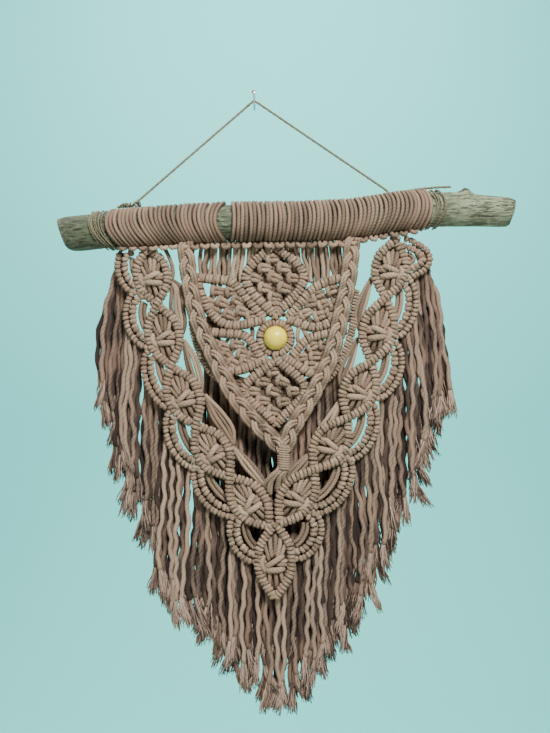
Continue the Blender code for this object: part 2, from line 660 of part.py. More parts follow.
def build():
    for old in list(bpy.data.objects):
        bpy.data.objects.remove(old)
    finish("branch", branch_shape(), "driftwood")
    for name, first, last, turns, radius, lean_first, lean_last, colour in TURNS:
        core = branch_shape(CLEARANCE)
        fuse(name, [turns_shape(first, last, turns, radius, lean_first, lean_last)], colour, [core])
    build_garland(wrap_clearance())
    build_panel(wrap_clearance())
    build_bead()
    build_braids(wrap_clearance())
    build_fringe()
    build_panel_fringe()
    build_nail()
    build_twine()


build()
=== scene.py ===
import math
import random

import bmesh
import bpy
from mathutils import Matrix, Vector


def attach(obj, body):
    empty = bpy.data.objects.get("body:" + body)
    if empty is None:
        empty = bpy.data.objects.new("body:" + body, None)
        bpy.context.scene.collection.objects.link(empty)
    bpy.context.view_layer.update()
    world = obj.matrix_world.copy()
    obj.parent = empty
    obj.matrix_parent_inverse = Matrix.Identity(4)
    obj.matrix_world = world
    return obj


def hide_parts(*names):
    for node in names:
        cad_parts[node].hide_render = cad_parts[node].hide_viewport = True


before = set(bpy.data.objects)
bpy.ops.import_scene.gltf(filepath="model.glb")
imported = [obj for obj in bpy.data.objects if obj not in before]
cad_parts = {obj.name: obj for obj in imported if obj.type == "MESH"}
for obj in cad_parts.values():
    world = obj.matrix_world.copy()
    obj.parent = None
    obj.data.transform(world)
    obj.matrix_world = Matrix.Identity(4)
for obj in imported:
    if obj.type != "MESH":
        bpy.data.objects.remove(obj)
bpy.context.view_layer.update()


# ==== the driftwood branch ====
# A weathered limb about 38 mm thick that the whole hanging is knotted on. Its bark is
# gone: it has dried to grey green, with short dark cracks along the grain and the stump
# of a twig on top. Both ends are sawn off at a slant.
MM = 0.001
WORK_X, WORK_Z = 21.0, -148.0     # the hanging's own zero, in the frame
RIGHT, UP, FORWARD = Vector((1, 0, 0)), Vector((0, 0, 1)), Vector((0, -1, 0))
BRANCH_OUT = 22.6                 # the branch's axis in front of the wall
BRANCH = [
    # right, height, radius, lean of the section
    (-222.0, 10.5, 16.2, -11.0),
    (-216.0, 10.9, 18.6, -9.0),
    (-203.0, 11.8, 19.2, -2.0),
    (-172.0, 15.2, 19.1, 0.0),
    (-130.0, 18.7, 18.8, 0.0),
    (-90.0, 21.6, 18.9, 0.0),
    (-51.0, 23.6, 18.9, 0.0),
    (27.0, 24.4, 18.9, 0.0),
    (80.0, 26.8, 18.9, 0.0),
    (132.0, 35.0, 18.5, 0.0),
    (174.0, 37.0, 18.5, 0.0),
    (200.0, 37.4, 18.6, 0.0),
    (212.0, 36.2, 17.2, 0.0),
    (237.0, 35.0, 16.2, 2.0),
    (246.0, 34.4, 15.6, 5.0),
    (250.0, 34.2, 13.4, 6.0),
]
TWIG_U, TWIG_HEIGHT, TWIG_SPREAD = 201.0, 4.6, 5.4
BRANCH_SIDES, BRANCH_STEPS = 40, 130
HEART_Z = -126.0                  # height of the growth rings' middle
WOOD_GREY, WOOD_GREEN = (0.066, 0.08, 0.052), (0.10, 0.12, 0.067)
WOOD_LIGHT, WOOD_PALE = (0.225, 0.26, 0.16), (0.34, 0.37, 0.235)
WOOD_CRACK, WOOD_STUMP = (0.02, 0.025, 0.016), (0.05, 0.036, 0.022)
WOOD_STAIN = (0.075, 0.082, 0.05)
SAWN_LIGHT, SAWN_DARK = (0.30, 0.28, 0.20), (0.17, 0.17, 0.13)


def at(u, w, out):
    """A point of the hanging, in millimetres: u right of its middle, w up from the
    underside of the mounting turns, out from the wall."""
    return Vector((WORK_X + u, -out, WORK_Z + w)) * MM


def smooth_path(points, steps):
    """steps + 1 evenly spaced points of a smooth curve through the given ones."""
    ends = [points[0] * 2 - points[1]] + points + [points[-1] * 2 - points[-2]]
    fine = []
    for before, start, end, after in zip(ends, ends[1:], ends[2:], ends[3:]):
        for part in range(12):
            t = part / 12
            fine.append(0.5 * (2 * start + (end - before) * t
                               + (2 * before - 5 * start + 4 * end - after) * t * t
                               + (3 * start - before - 3 * end + after) * t ** 3))
    fine.append(points[-1])
    reach = [0.0]
    for start, end in zip(fine, fine[1:]):
        reach.append(reach[-1] + (end - start).length)
    path, place = [], 0
    for step in range(steps + 1):
        goal = reach[-1] * step / steps
        while place < len(fine) - 2 and reach[place + 1] < goal:
            place += 1
        span = max(reach[place + 1] - reach[place], 1e-9)
        path.append(fine[place].lerp(fine[place + 1], min(1.0, (goal - reach[place]) / span)))
    return path


def way_along(path, k):
    """The way that a line of points runs at point k."""
    return path[min(k + 1, len(path) - 1)] - path[max(k - 1, 0)]


def as_mesh(name, shape):
    mesh = bpy.data.meshes.new(name)
    shape.to_mesh(mesh)
    shape.free()
    return mesh


def add_object(name, data):
    made = bpy.data.objects.new(name, data)
    bpy.context.scene.collection.objects.link(made)
    return made


def branch_at(u):
    """Height of the branch's axis, its radius and its section's lean at u."""
    for (u0, *low), (u1, *high) in zip(BRANCH, BRANCH[1:]):
        if u <= u1:
            share = max(0.0, min(1.0, (u - u0) / (u1 - u0)))
            return [a + (b - a) * share for a, b in zip(low, high)]
    return BRANCH[-1][1:]


class Value:
    """A socket of a finish. maths() adds one Math node, as sums and products of it do."""

    def __init__(self, finish, socket):
        self.finish, self.socket = finish, socket

    def maths(self, operation, *others):
        return self.finish.node("ShaderNodeMath", {"operation": operation},
                                dict(enumerate((self, *others))))

    def __add__(self, other):
        return self.maths("ADD", other)

    __radd__ = __add__

    def __sub__(self, other):
        return self.maths("SUBTRACT", other)

    def __rsub__(self, other):
        return self.finish.node("ShaderNodeMath", {"operation": "SUBTRACT"}, {0: other, 1: self})

    def __mul__(self, other):
        return self.maths("MULTIPLY", other)

    __rmul__ = __mul__


class Finish:
    """A material: node() adds one node, and the constants go straight on the surface."""

    def __init__(self, name, **constants):
        self.material = bpy.data.materials.new(name)
        self.material.use_nodes = True
        self.tree = self.material.node_tree
        self.surface = self.tree.nodes["Principled BSDF"]
        for socket, value in constants.items():
            self.surface.inputs[socket.replace("_", " ")].default_value = value

    def node(self, kind, settings=None, inputs=None, output=0):
        made = self.tree.nodes.new(kind)
        for name, value in (settings or {}).items():
            setattr(made, name, value)
        for name, value in (inputs or {}).items():
            self.feed(made.inputs[name], value)
        return Value(self, made.outputs[output])

    def feed(self, socket, value):
        if isinstance(value, Value):
            self.tree.links.new(value.socket, socket)
        elif isinstance(value, tuple) and len(value) == 3 and socket.type == "RGBA":
            socket.default_value = (*value, 1)
        else:
            socket.default_value = value

    def mix(self, share, first, second):
        return self.node("ShaderNodeMix", {"data_type": "RGBA"}, {"Factor": share, 6: first, 7: second}, 2)

    def noise(self, scale, detail=2.0, roughness=0.5, vector=None, stretch=None):
        """Noise from 0 to 1 over the piece, or along the given vector."""
        place = vector or self.node("ShaderNodeTexCoord", output=3)
        if stretch:
            place = self.node("ShaderNodeMapping", {}, {"Vector": place, "Scale": stretch})
        return self.node("ShaderNodeTexNoise", {},
                         {"Vector": place, "Scale": scale, "Detail": detail, "Roughness": roughness})

    def band(self, value, low, high):
        """0 below low, 1 above high, and smooth between them."""
        return self.node("ShaderNodeMapRange", {"interpolation_type": "SMOOTHSTEP"},
                         {"Value": value, "From Min": low, "From Max": high})

    def raise_by(self, height, distance, under=None):
        inputs = {"Height": height, "Distance": distance, "Strength": 1.0}
        if under:
            inputs["Normal"] = under
        return self.node("ShaderNodeBump", {}, inputs)

    def show(self, colour, roughness=None, normal=None):
        for name, value in (("Base Color", colour), ("Roughness", roughness), ("Normal", normal)):
            if value is not None:
                self.feed(self.surface.inputs[name], value)
        return self.material


def keep(name, shape, material, slot, *nodes):
    """Finish a shape as a piece that stands for these nodes of the frame."""
    piece = add_object(name, as_mesh(name, shape))
    for each in material if isinstance(material, list) else [material]:
        piece.data.materials.append(each)
    piece.data.shade_smooth()
    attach(piece, "root")
    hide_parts(*nodes)


def branch_ring(u, radius, lean):
    """The points round the branch at u, with its twig stump, flats and cracks."""
    ring = []
    for k in range(BRANCH_SIDES):
        angle = math.tau * k / BRANCH_SIDES
        place = u + lean / 2 * math.cos(angle)
        height = branch_at(place)[0]
        flat = 0.45 * math.sin(3 * angle + 0.02 * u) + 0.3 * math.sin(5 * angle - 0.034 * u + 1)
        crack = max(0.0, math.sin(4 * angle + 0.6 * math.sin(0.03 * u) + 2.0)) ** 16
        flat -= 0.7 * crack * max(0.0, math.sin(0.045 * u + 3 * math.sin(angle)))
        bump = TWIG_HEIGHT * math.exp(-abs((u - TWIG_U) / TWIG_SPREAD) ** 3)
        grown = radius - 0.5 + flat + bump * max(0.0, math.cos(angle - 0.35)) ** 4
        ring.append(at(place, height + grown * math.cos(angle), BRANCH_OUT + grown * math.sin(angle)))
    return ring


def build_branch():
    shape = bmesh.new()
    first, last = BRANCH[0][0], BRANCH[-1][0]
    ring = branch_ring(first, *BRANCH[0][2:])
    face = shape.faces.new([shape.verts.new(point) for point in ring])
    start = list(face.verts)
    for step in range(1, BRANCH_STEPS + 1):
        u = first + (last - first) * step / BRANCH_STEPS
        _, radius, lean = branch_at(u)
        face = bmesh.ops.extrude_discrete_faces(shape, faces=[face])["faces"][0]
        for vert, point in zip(face.verts, branch_ring(u, radius, lean)):
            vert.co = point
    back = shape.faces.new(list(reversed(start)))
    for end in (face, back):
        end.material_index = 1
    sawn = bmesh.ops.inset_individual(shape, faces=[face, back], thickness=0.0022, depth=0.0006)
    for face in sawn["faces"]:
        face.material_index = 1
    bmesh.ops.recalc_face_normals(shape, faces=shape.faces)
    return shape


def driftwood():
    wood = Finish("driftwood_weathered", Roughness=0.82, Specular_IOR_Level=0.25)
    place = wood.node("ShaderNodeTexCoord", output=3)
    patches = wood.noise(1.0, 3, 0.6, stretch=(22, 60, 60))
    grain = wood.noise(1.0, 5, 0.65, stretch=(60, 620, 620))
    flakes = wood.noise(1.0, 4, 0.7, stretch=(130, 330, 330))
    right = wood.node("ShaderNodeSeparateXYZ", {}, {"Vector": place})
    bleached = wood.band(right + patches * 0.3, -0.05, 0.42)
    tone = wood.mix(wood.band(patches, 0.36, 0.62), WOOD_GREY, WOOD_GREEN)
    tone = wood.mix(bleached, tone, WOOD_LIGHT)
    stains = wood.band(wood.noise(1.0, 2, 0.5, stretch=(38, 75, 75)), 0.47, 0.6)
    tone = wood.mix(stains * 0.55, tone, WOOD_STAIN)
    tone = wood.mix(wood.band(flakes, 0.5, 0.66) * (bleached * 0.6 + 0.35), tone, WOOD_PALE)
    cracks = wood.band(grain, 0.54, 0.64) * wood.band(patches, 0.3, 0.55)
    dark = wood.band(wood.noise(1.0, 3, 0.6, stretch=(70, 260, 260)), 0.53, 0.66)
    tone = wood.mix(cracks * 0.75, tone, WOOD_CRACK)
    tone = wood.mix(dark * (0.75 - bleached * 0.2), tone, WOOD_CRACK)
    from_stump = wood.node("ShaderNodeVectorMath", {"operation": "DISTANCE"}, {
        0: place, 1: at(TWIG_U - 3, branch_at(TWIG_U)[0] + 23, BRANCH_OUT + 6)}, 1)
    tone = wood.mix(1 - wood.band(from_stump + flakes * 0.008, 0.009, 0.015), tone, WOOD_STUMP)
    height = grain * -0.5 + flakes * 0.5 - cracks - dark * 0.8
    return wood.show(tone, wood.band(flakes, 0.2, 0.9) * 0.2 + 0.7, wood.raise_by(height, 0.0009))


def sawn_ends():
    """The end grain: growth rings round the heart, and fine cracks out from it."""
    wood = Finish("driftwood_sawn_end", Roughness=0.9, Specular_IOR_Level=0.2)
    place = wood.node("ShaderNodeTexCoord", output=3)
    heart = wood.node("ShaderNodeMapping", {}, {
        "Vector": place, "Scale": (0.0, 1.0, 1.0), "Location": (0.0, BRANCH_OUT * MM, -HEART_Z * MM)})
    rings = wood.node("ShaderNodeTexWave", {"wave_type": "RINGS", "rings_direction": "X"}, {
        "Vector": heart, "Scale": 130.0, "Distortion": 2.5, "Detail": 3.0, "Detail Scale": 1.5})
    specks = wood.noise(900.0, 2)
    tone = wood.mix(rings, SAWN_LIGHT, SAWN_DARK)
    tone = wood.mix(wood.band(specks, 0.55, 0.7) * 0.6, tone, WOOD_CRACK)
    return wood.show(tone, None, wood.raise_by(rings * 0.4 + specks, 0.0004))


keep("branch_wood", build_branch(), [driftwood(), sawn_ends()], "driftwood", "branch")


# ==== the mounting turns ====
# The cotton cord that carries the work is wound side by side round the branch, 27 turns
# left of a bare gap and 48 right of it. Below the branch the cords come forward as a row
# of small level loops, and the hanging's cords go down from these.
CORD = 4.0
WRAP_RADIUS = 22.1
TURNS = [
    # name, first, last, turns
    ("wrap_left", -169.0, -58.4, 27),
    ("wrap_right", -41.8, 160.6, 48),
]
TURN_SHAPES = [
    # right, foot to the right of the top, bow to the left
    (-185.0, 17.0, 9.0),
    (-169.0, 12.0, 9.0),
    (-150.0, 16.0, 8.0),
    (-125.0, 19.0, 7.4),
    (-100.0, 13.0, 6.5),
    (-80.0, 8.0, 6.5),
    (-58.4, 2.0, 8.6),
    (-41.8, -0.5, -2.2),
    (20.0, 0.0, -3.2),
    (75.0, -1.5, -5.0),
    (130.0, -6.0, -6.8),
    (160.6, -3.0, -7.4),
    (177.0, -3.0, -9.0),
]
LOOP_ROW = [
    # first, last, height first, height last, loops
    (-158.0, -62.0, -5.2, -2.8, 10),
    (-51.0, 62.0, -2.8, -1.2, 11),
    (72.0, 146.0, -0.8, 12.4, 8),
]
COTTON_DARK, COTTON_PALE = (0.125, 0.088, 0.058), (0.485, 0.362, 0.244)
COTTON_ROSE, COTTON_FRAYED = (0.325, 0.208, 0.142), (0.56, 0.42, 0.33)
# the near black of painted shade, in recesses and where cords touch
COTTON_PAINTED_SHADE = (0.027, 0.0195, 0.016)
COTTON_SHEEN = (0.95, 0.8, 0.7, 1)
CORD_LAY = 0.0105                 # metres along the cord for one turn of its plies
PRESSED_SHADE = 1.4                     # how much painted shade darkens a cord where it presses on the next
chance = random.Random(11)


def cord_shape(path, radius, sides=6, tone=None, facing=None, flat=1.0, fray=0.0, contact_shade=0.0,
               back=None):
    """A cord drawn out ring by ring along its path and closed at both ends. It keeps the
    place round and along it in "lay", which its twist and fibres follow. radius is in
    millimetres, or a list of them. The section is thinned by flat towards facing, and
    hollow paints shade on it there, where it touches its neighbours. back is the tone of
    the side turned to the wall, where that isn't the front's: a cord whose front is
    painted dark as shade keeps a plain tone there."""
    shape = bmesh.new()
    lay = shape.verts.layers.float_vector.new("lay")
    shade, worn = (shape.verts.layers.float.new(name) for name in ("tone", "fray"))
    tone = chance.random() if tone is None else tone
    back = tone if back is None else back
    side, before, along, face, first = None, None, chance.random() * 0.02, None, None
    for index, point in enumerate(path):
        ahead = way_along(path, index).normalized()
        if facing is not None:
            side = ahead.cross(facing).normalized()
        elif side is None:
            side = ahead.orthogonal().normalized()
        else:
            side.rotate(before.rotation_difference(ahead))
        over = side.cross(ahead)
        size = (radius[index] if isinstance(radius, list) else radius) * MM
        if index:
            along += (point - path[index - 1]).length
            face = bmesh.ops.extrude_discrete_faces(shape, faces=[face])["faces"][0]
            ring = list(face.verts)
        else:
            first = ring = [shape.verts.new(point) for _ in range(sides)]
            face = shape.faces.new(first)
        for k, vert in enumerate(ring):
            angle = math.tau * (k + 0.5) / sides
            c, s = math.cos(angle), math.sin(angle)
            vert.co = point + side * (size * c) + over * (size * s * flat)
            behind = max(0.0, (side * c + over * s).y)
            vert[lay], vert[worn] = (c, s, along), fray
            # tone, with painted shade where the cord touches its neighbours, and back's tone on the wall
            # side
            vert[shade] = tone - contact_shade * abs(s) ** 3 + (back - tone) * behind
        before = ahead
    shape.faces.new(list(reversed(first)))
    bmesh.ops.recalc_face_normals(shape, faces=shape.faces)
    return shape


class Gathered:
    """Cords gathered into one piece of the hanging."""

    def __init__(self):
        self.shape = bmesh.new()
        self.shape.verts.layers.float_vector.new("lay")
        for name in ("tone", "fray"):
            self.shape.verts.layers.float.new(name)

    def add(self, shape, place=None):
        """Adds a shape, or a placed copy of a mesh."""
        if isinstance(shape, bpy.types.Mesh):
            part = shape.copy()
            part.transform(place)
        else:
            part = as_mesh("part", shape)
        self.shape.from_mesh(part)
        bpy.data.meshes.remove(part)

    def cord(self, points, steps, radius=CORD / 2, **more):
        self.add(cord_shape(smooth_path(points, steps), radius, **more))


def cord_places(finish):
    """Across and over a cord, metres along it and its tone, as cord_shape() keeps them."""
    lay = finish.node("ShaderNodeAttribute", {"attribute_name": "lay"}, output=1)
    split = finish.node("ShaderNodeSeparateXYZ", {}, {"Vector": lay})
    tone = finish.node("ShaderNodeAttribute", {"attribute_name": "tone"}, output=2)
    return [Value(finish, split.socket.node.outputs[k]) for k in range(3)] + [tone]


def cotton(name, dark, pale, lay_length, relief=0.5):
    """Soft three-ply cotton: the plies wind round the cord and the fibres run with them.
    A tone below zero goes on towards painted shade, dark as in a recess or where cords
    touch. The grooves between the plies are painted darker too, as shade."""
    cloth = Finish(name, Roughness=0.95, Specular_IOR_Level=0.1, Sheen_Weight=0.1,
                   Sheen_Roughness=0.5, Sheen_Tint=COTTON_SHEEN)
    c, s, along, tone = cord_places(cloth)
    fray = cloth.node("ShaderNodeAttribute", {"attribute_name": "fray"}, output=2)
    turn = along * (math.tau / lay_length)
    angle = s.maths("ARCTAN2", c) + turn
    ply = (angle * 3.0).maths("SINE") * 0.5 + 0.5
    cos_turn, sin_turn = turn.maths("COSINE"), turn.maths("SINE")
    wound = cloth.node("ShaderNodeCombineXYZ", {}, {
        0: c * cos_turn - s * sin_turn, 1: s * cos_turn + c * sin_turn, 2: along * 34.0})
    fibres = cloth.noise(5.5, 3, 0.6, vector=wound)
    fluff = cloth.noise(700.0, 2, 0.6)
    mottle = cloth.noise(26.0, 2, 0.5)
    whole = 1 - fray
    groove = ply.maths("POWER", 0.6)
    # groove lightens the plies' crests and darkens the grooves between them in the colour: painted shade.
    # tone holds the cord's own random tone with painted shade added to it
    shade = fibres * 0.4 + tone * 0.42 + groove * (0.3 * relief) * whole + 0.06
    colour = cloth.mix(cloth.band(shade, 0.30, 0.95), dark, pale)
    colour = cloth.mix(cloth.band(mottle, 0.40, 0.66) * 0.5, colour, COTTON_ROSE)
    colour = cloth.mix(fray * cloth.band(shade, 0.2, 0.8) * 0.75, colour, COTTON_FRAYED)
    # painted shade: a tone below zero darkens the cotton towards the dark of a recess
    colour = cloth.mix(cloth.band(0 - tone, 0.0, 1.1), colour, COTTON_PAINTED_SHADE)
    normal = cloth.raise_by(groove * whole, 0.0004 * relief)
    normal = cloth.raise_by(fibres + fluff * 0.35, 0.0003 * relief, normal)
    return cloth.show(colour, None, normal)


cotton_cord = cotton("cotton_cord", COTTON_DARK, COTTON_PALE, CORD_LAY)


def turn_path(u, radius, lean, bow, steps=36):
    """One turn round the branch's axis: it leans and bows as the turns at u do, and by
    lean and bow more."""
    for (first, *low), (last, *high) in zip(TURN_SHAPES, TURN_SHAPES[1:]):
        if u <= last:
            share = max(0.0, (u - first) / (last - first))
            break
    lean, bow = (a + (b - a) * share + more for a, b, more in zip(low, high, (lean, bow)))
    path = []
    for k in range(steps + 1):
        angle = math.tau * k / steps
        side = u - lean / 2 * math.cos(angle) + bow * (math.cos(angle) ** 2 - 0.33)
        side += 0.3 * math.sin(2 * angle + 1.7 * u)
        height = branch_at(side)[0]
        path.append(at(side, height + radius * math.cos(angle), BRANCH_OUT + radius * math.sin(angle)))
    return path


for name, first, last, turns in TURNS:
    wound = Gathered()
    for k in range(turns):
        u = first + (last - first) * k / (turns - 1) + chance.uniform(-0.45, 0.45)
        radius = WRAP_RADIUS - 2.05 + chance.uniform(-0.3, 0.15)
        path = turn_path(u, radius, chance.uniform(-0.9, 0.9), chance.uniform(-0.5, 0.5))
        # each turn is painted darker where it touches the next: painted shade
        wound.add(cord_shape(path, 2.2, 8, chance.uniform(0.2, 0.65), RIGHT, contact_shade=PRESSED_SHADE))
    keep(name + "_turns", wound.shape, cotton_cord, "cotton", name)

loops = Gathered()
for first, last, height_first, height_last, count in LOOP_ROW:
    for k in range(count):
        share = k / (count - 1)
        u = first + (last - first) * share + chance.uniform(-0.6, 0.6)
        w = height_first + (height_last - height_first) * share + chance.uniform(-0.5, 0.5)
        tip, reach = chance.uniform(-0.8, 0.8), chance.uniform(2.3, 3.1)
        loops.cord([at(u - reach - 0.6, w + 7.0, 24.0), at(u - reach - 0.2, w + 2.4 - tip, 28.0),
                    at(u - reach * 0.8, w - 0.2 - tip, 31.0), at(u, w - 0.5, 32.2),
                    at(u + reach * 0.8, w - 0.2 + tip, 31.0), at(u + reach + 0.2, w + 2.4 + tip, 28.0),
                    at(u + reach + 0.6, w + 7.0, 24.0)], 16, 2.3, sides=8)
    middle, height = (first + last) / 2, (height_first + height_last) / 2
    for rise, out in ((2.6, 26.0), (3.4, 22.0)):
        loops.cord([at(first - 2, height_first + rise, out), at(middle, height + rise, out),
                    at(last + 2, height_last + rise, out)], 24, 2.1, tone=0.0)
keep("loops_under_branch", loops.shape, cotton_cord, "cotton")


# ==== the jute lashings, the hanger twine and the nail ====
# Thin two-ply jute binds each end of the mounting turns. The hanger twine is knotted near
# the left binding, runs up over a bright steel nail and comes down on the right turns. Its
# end stands free above the bare wood, and stray fibres stand off it.
TWINE, CLEARANCE = 2.8, 0.3
LASHINGS = [
    # name, thickness, where its turns lie
    ("lashing_left", 1.7, (-187.0, -185.2, -183.6, -181.6, -179.6, -177.6, -175.4)),
    ("lashing_right", 1.8, (165.6, 167.4, 169.4, 174.0, 175.6)),
]
NAIL_DIAMETER, NAIL_LENGTH, NAIL_RISE = 2.0, 30.0, 12.0
NAIL_PROFILE = [
    # radius, height: the foot in the wall's plane, the shank and the small head
    (0.0, -0.4), (1.0, -0.4), (1.0, 12.0), (1.0, 24.0), (1.0, 29.2), (1.3, 30.0),
    (2.1, 30.0), (2.3, 30.2), (2.3, 30.6), (2.0, 30.9), (0.0, 31.1),
]
HOOK_OUT = 9.0                    # where the twine crosses the nail
TWINE_LEFT, TWINE_KNOT, TWINE_RIGHT, TWINE_END = -165.0, -150.0, 124.0, 186.0
TWINE_STEPS, TWINE_LAY = 420, 0.007
JUTE_DARK, JUTE_PALE = (0.06, 0.055, 0.03), (0.24, 0.215, 0.12)
STEEL_DARK, STEEL_PALE = (0.52, 0.53, 0.54), (0.74, 0.75, 0.76)


def jute():
    fibre = Finish("jute_twine", Roughness=0.9, Specular_IOR_Level=0.2, Sheen_Weight=0.2)
    c, s, along, tone = cord_places(fibre)
    turn = s.maths("ARCTAN2", c) + along * (math.tau / TWINE_LAY)
    ply = (turn * 2.0).maths("SINE") * 0.5 + 0.5
    streaks = fibre.noise(1.0, 4, 0.7, stretch=(700, 700, 500))
    # ply darkens the grooves between the two plies in the colour: painted shade
    shade = streaks * 0.8 + tone * 0.25 + ply * 0.25
    colour = fibre.mix(fibre.band(shade, 0.3, 0.95), JUTE_DARK, JUTE_PALE)
    return fibre.show(colour, None, fibre.raise_by(ply * 0.6 + streaks, 0.0006))


def on_top(u, radius, out):
    """The twine lying on the turns at u."""
    back, gap = out - BRANCH_OUT, radius + CLEARANCE + TWINE / 2
    return at(u, branch_at(u)[0] + math.sqrt(gap * gap - back * back), out)


def add_hairs(piece, path, count, length):
    """Stray fibres that stand off a twine."""
    for _ in range(count):
        start = path[chance.randrange(1, len(path) - 2)]
        way = Vector([chance.uniform(-1, 1) for _ in range(3)]).normalized()
        curl = Vector([chance.uniform(-0.5, 0.5) for _ in range(3)])
        reach = chance.uniform(0.5, 1.0) * length * MM
        line = [start, start + way * reach * 0.6, start + (way + curl * 0.5) * reach]
        piece.add(cord_shape(line, [0.12, 0.10, 0.05], sides=3, tone=chance.uniform(0.5, 1)))


jute_finish = jute()
for name, thickness, places in LASHINGS:
    bound = Gathered()
    for k, u in enumerate(places):
        radius = branch_at(u)[1] + 1.1 + 0.8 * (k % 2)
        path = turn_path(u, radius, chance.uniform(-3.4, 3.4), chance.uniform(-1.0, 1.0), 40)
        bound.add(cord_shape(path, thickness / 2, sides=6))
        add_hairs(bound, path, 12, 3.0)
    keep(name + "_turns", bound.shape, jute_finish, "jute", name)

nail_w = -WORK_Z + HOOK_OUT * NAIL_RISE / NAIL_LENGTH
bend = NAIL_DIAMETER / 2 * 1.12 + CLEARANCE + TWINE / 2
over_nail = [at(-WORK_X + bend * math.sin(math.radians(angle)),
                nail_w + bend * math.cos(math.radians(angle)), HOOK_OUT)
             for angle in (-40, -20, 0, 18, 34)]
crest = WRAP_RADIUS + 0.1
left_foot = on_top(TWINE_KNOT, crest, 20.0) + Vector((6, 0, 5)) * MM
right_foot = on_top(TWINE_RIGHT, crest, 13.0)
twine = Gathered()
lead = [on_top(TWINE_LEFT, crest, 22.0), on_top(-157, crest, 21.5), on_top(TWINE_KNOT, crest, 21.0)]
rise = [left_foot.lerp(over_nail[0], t) for t in (0.0, 0.25, 0.5, 0.75, 0.97)]
fall = [over_nail[-1].lerp(right_foot, t) for t in (0.03, 0.25, 0.5, 0.75, 0.94)]
run = [right_foot]
run += [on_top(u, crest, out) for u, out in ((140, 14.5), (156, 18.0), (172, 20.5), (TWINE_END, 21.5))]
hanger = smooth_path(lead + rise + over_nail + fall + run, TWINE_STEPS)
sizes = [1.25 + 0.12 * math.sin(0.9 * k) for k in range(TWINE_STEPS + 1)]
twine.add(cord_shape(hanger, sizes, sides=8))
add_hairs(twine, hanger, 150, 3.4)
for k in range(7):
    middle = on_top(-161 + 3.2 * k, crest, 21.5 + (k % 2)) + Vector((0, 0, 0.0012))
    tilt = Matrix.Rotation(0.5 * math.sin(2.3 * k), 3, "Z")
    tilt = tilt @ Matrix.Rotation(0.5 * math.cos(1.7 * k), 3, "Y")
    size = 2.2 + 0.7 * (k > 3)
    coil = [middle + tilt @ Vector((0.3 * math.sin(a), size * math.cos(a), size * math.sin(a) * 0.85)) * MM
            for a in (math.tau * j / 12 for j in range(13))]
    twine.add(cord_shape(coil, 0.95, sides=6))
    add_hairs(twine, coil, 6, 3.5)
keep("hanger_jute", twine.shape, jute_finish, "jute", "hanger_twine")

steel = Finish("nail_steel", Metallic=1.0)
drawn = steel.noise(1.0, 3, 0.6, stretch=(500, 90, 500))
steel_finish = steel.show(steel.mix(drawn, STEEL_DARK, STEEL_PALE), drawn * 0.25 + 0.2,
                          steel.raise_by(drawn, 0.0001))
nail = bmesh.new()
profile = [nail.verts.new((radius * MM, 0, height * MM)) for radius, height in NAIL_PROFILE]
outline = [nail.edges.new(pair) for pair in zip(profile, profile[1:])]
bmesh.ops.spin(nail, geom=profile + outline, cent=(0, 0, 0), axis=(0, 0, 1), angle=math.tau, steps=24,
               use_merge=True)
bmesh.ops.remove_doubles(nail, verts=nail.verts, dist=1e-6)
slant = Vector((0, -NAIL_LENGTH, NAIL_RISE)).to_track_quat("Z", "Y").to_matrix()
bmesh.ops.rotate(nail, verts=nail.verts, cent=(0, 0, 0), matrix=slant)
bmesh.ops.bisect_plane(nail, geom=nail.verts[:] + nail.edges[:] + nail.faces[:], plane_co=(0, 0, 0),
                       plane_no=(0, 1, 0), clear_outer=True)
bmesh.ops.holes_fill(nail, edges=[edge for edge in nail.edges if edge.is_boundary])
bmesh.ops.recalc_face_normals(nail, faces=nail.faces)
keep("nail_bright", nail, steel_finish, "nail_steel", "nail")


# ==== the flower panel ====
# Six petals round a ring, drawn in bars of double half hitches: each bar is a core cord
# with other cords looped tightly over it. The petals are filled with staggered square
# knots, and the panel hangs from plain cords on either side of the top petal.
PANEL_OUT = 21.0
BAR_WIDTH, BAR_DEPTH, LOOP_PITCH = 10.2, 9.0, 3.3
PETAL_WIDTH, PETAL_DEPTH, PETAL_PITCH = 10.8, 9.2, 3.9
RING_WIDTH, RING_DEPTH, RING_PITCH = 9.2, 8.8, 3.7
EDGE_WIDTH, EDGE_DEPTH = 9.4, 8.4
PAIRED = 0.08                     # how far two neighbouring loops draw together
PETAL_BARS = [
    # right, up: two bars for each petal, top, bottom, the upper pair and the lower pair
    [(1, -1), (-9.5, -7), (-22, -19.4), (-28.4, -29), (-30, -36), (-27, -44.5), (-22.5, -51.6),
     (-9.6, -64), (3, -76)],
    [(0, -1), (5, -5), (17.3, -13.7), (26.8, -22.6), (31.3, -33), (30, -41), (24.6, -51.2),
     (10.6, -65), (0, -76)],
    [(3, -190), (-7.4, -179), (-21, -168), (-31.5, -157.5), (-31.5, -151), (-25, -142.3),
     (-8.4, -129), (3, -120)],
    [(2, -190), (10.5, -179.6), (22, -169), (30.5, -160), (32.5, -152), (30, -144.4),
     (19.4, -134), (1, -120)],
    [(-84, -34), (-63, -36.5), (-46, -38.5), (-37, -46.4), (-28.2, -56.7), (-19, -68), (-11, -77)],
    [(-81, -36), (-78.5, -46), (-75, -56), (-70, -67), (-60.5, -78), (-49, -84.5), (-36, -84.7),
     (-23.5, -82.3), (-9, -78.5)],
    [(84, -34), (72, -35.3), (57, -38.5), (44, -44.5), (35, -51.5), (27.6, -61), (19, -72), (13, -77)],
    [(78, -54), (70, -70), (60, -80.5), (51, -85.5), (40, -87), (29.5, -84), (14, -78)],
    [(-78, -92.5), (-65, -92.4), (-50, -93.4), (-35, -94.2), (-26.5, -99.4), (-20.5, -107.5), (-16, -115),
     (-12, -121)],
    [(-70, -106), (-60, -124), (-49, -132.5), (-36, -132), (-22, -126.5), (-6, -119)],
    [(76, -90), (62, -92), (47.6, -95.6), (37.5, -98), (30, -104), (23, -112.5), (17, -121)],
    [(68, -112), (60, -130), (48, -139), (39, -135.6), (29.5, -130), (20, -124), (8, -118)],
]
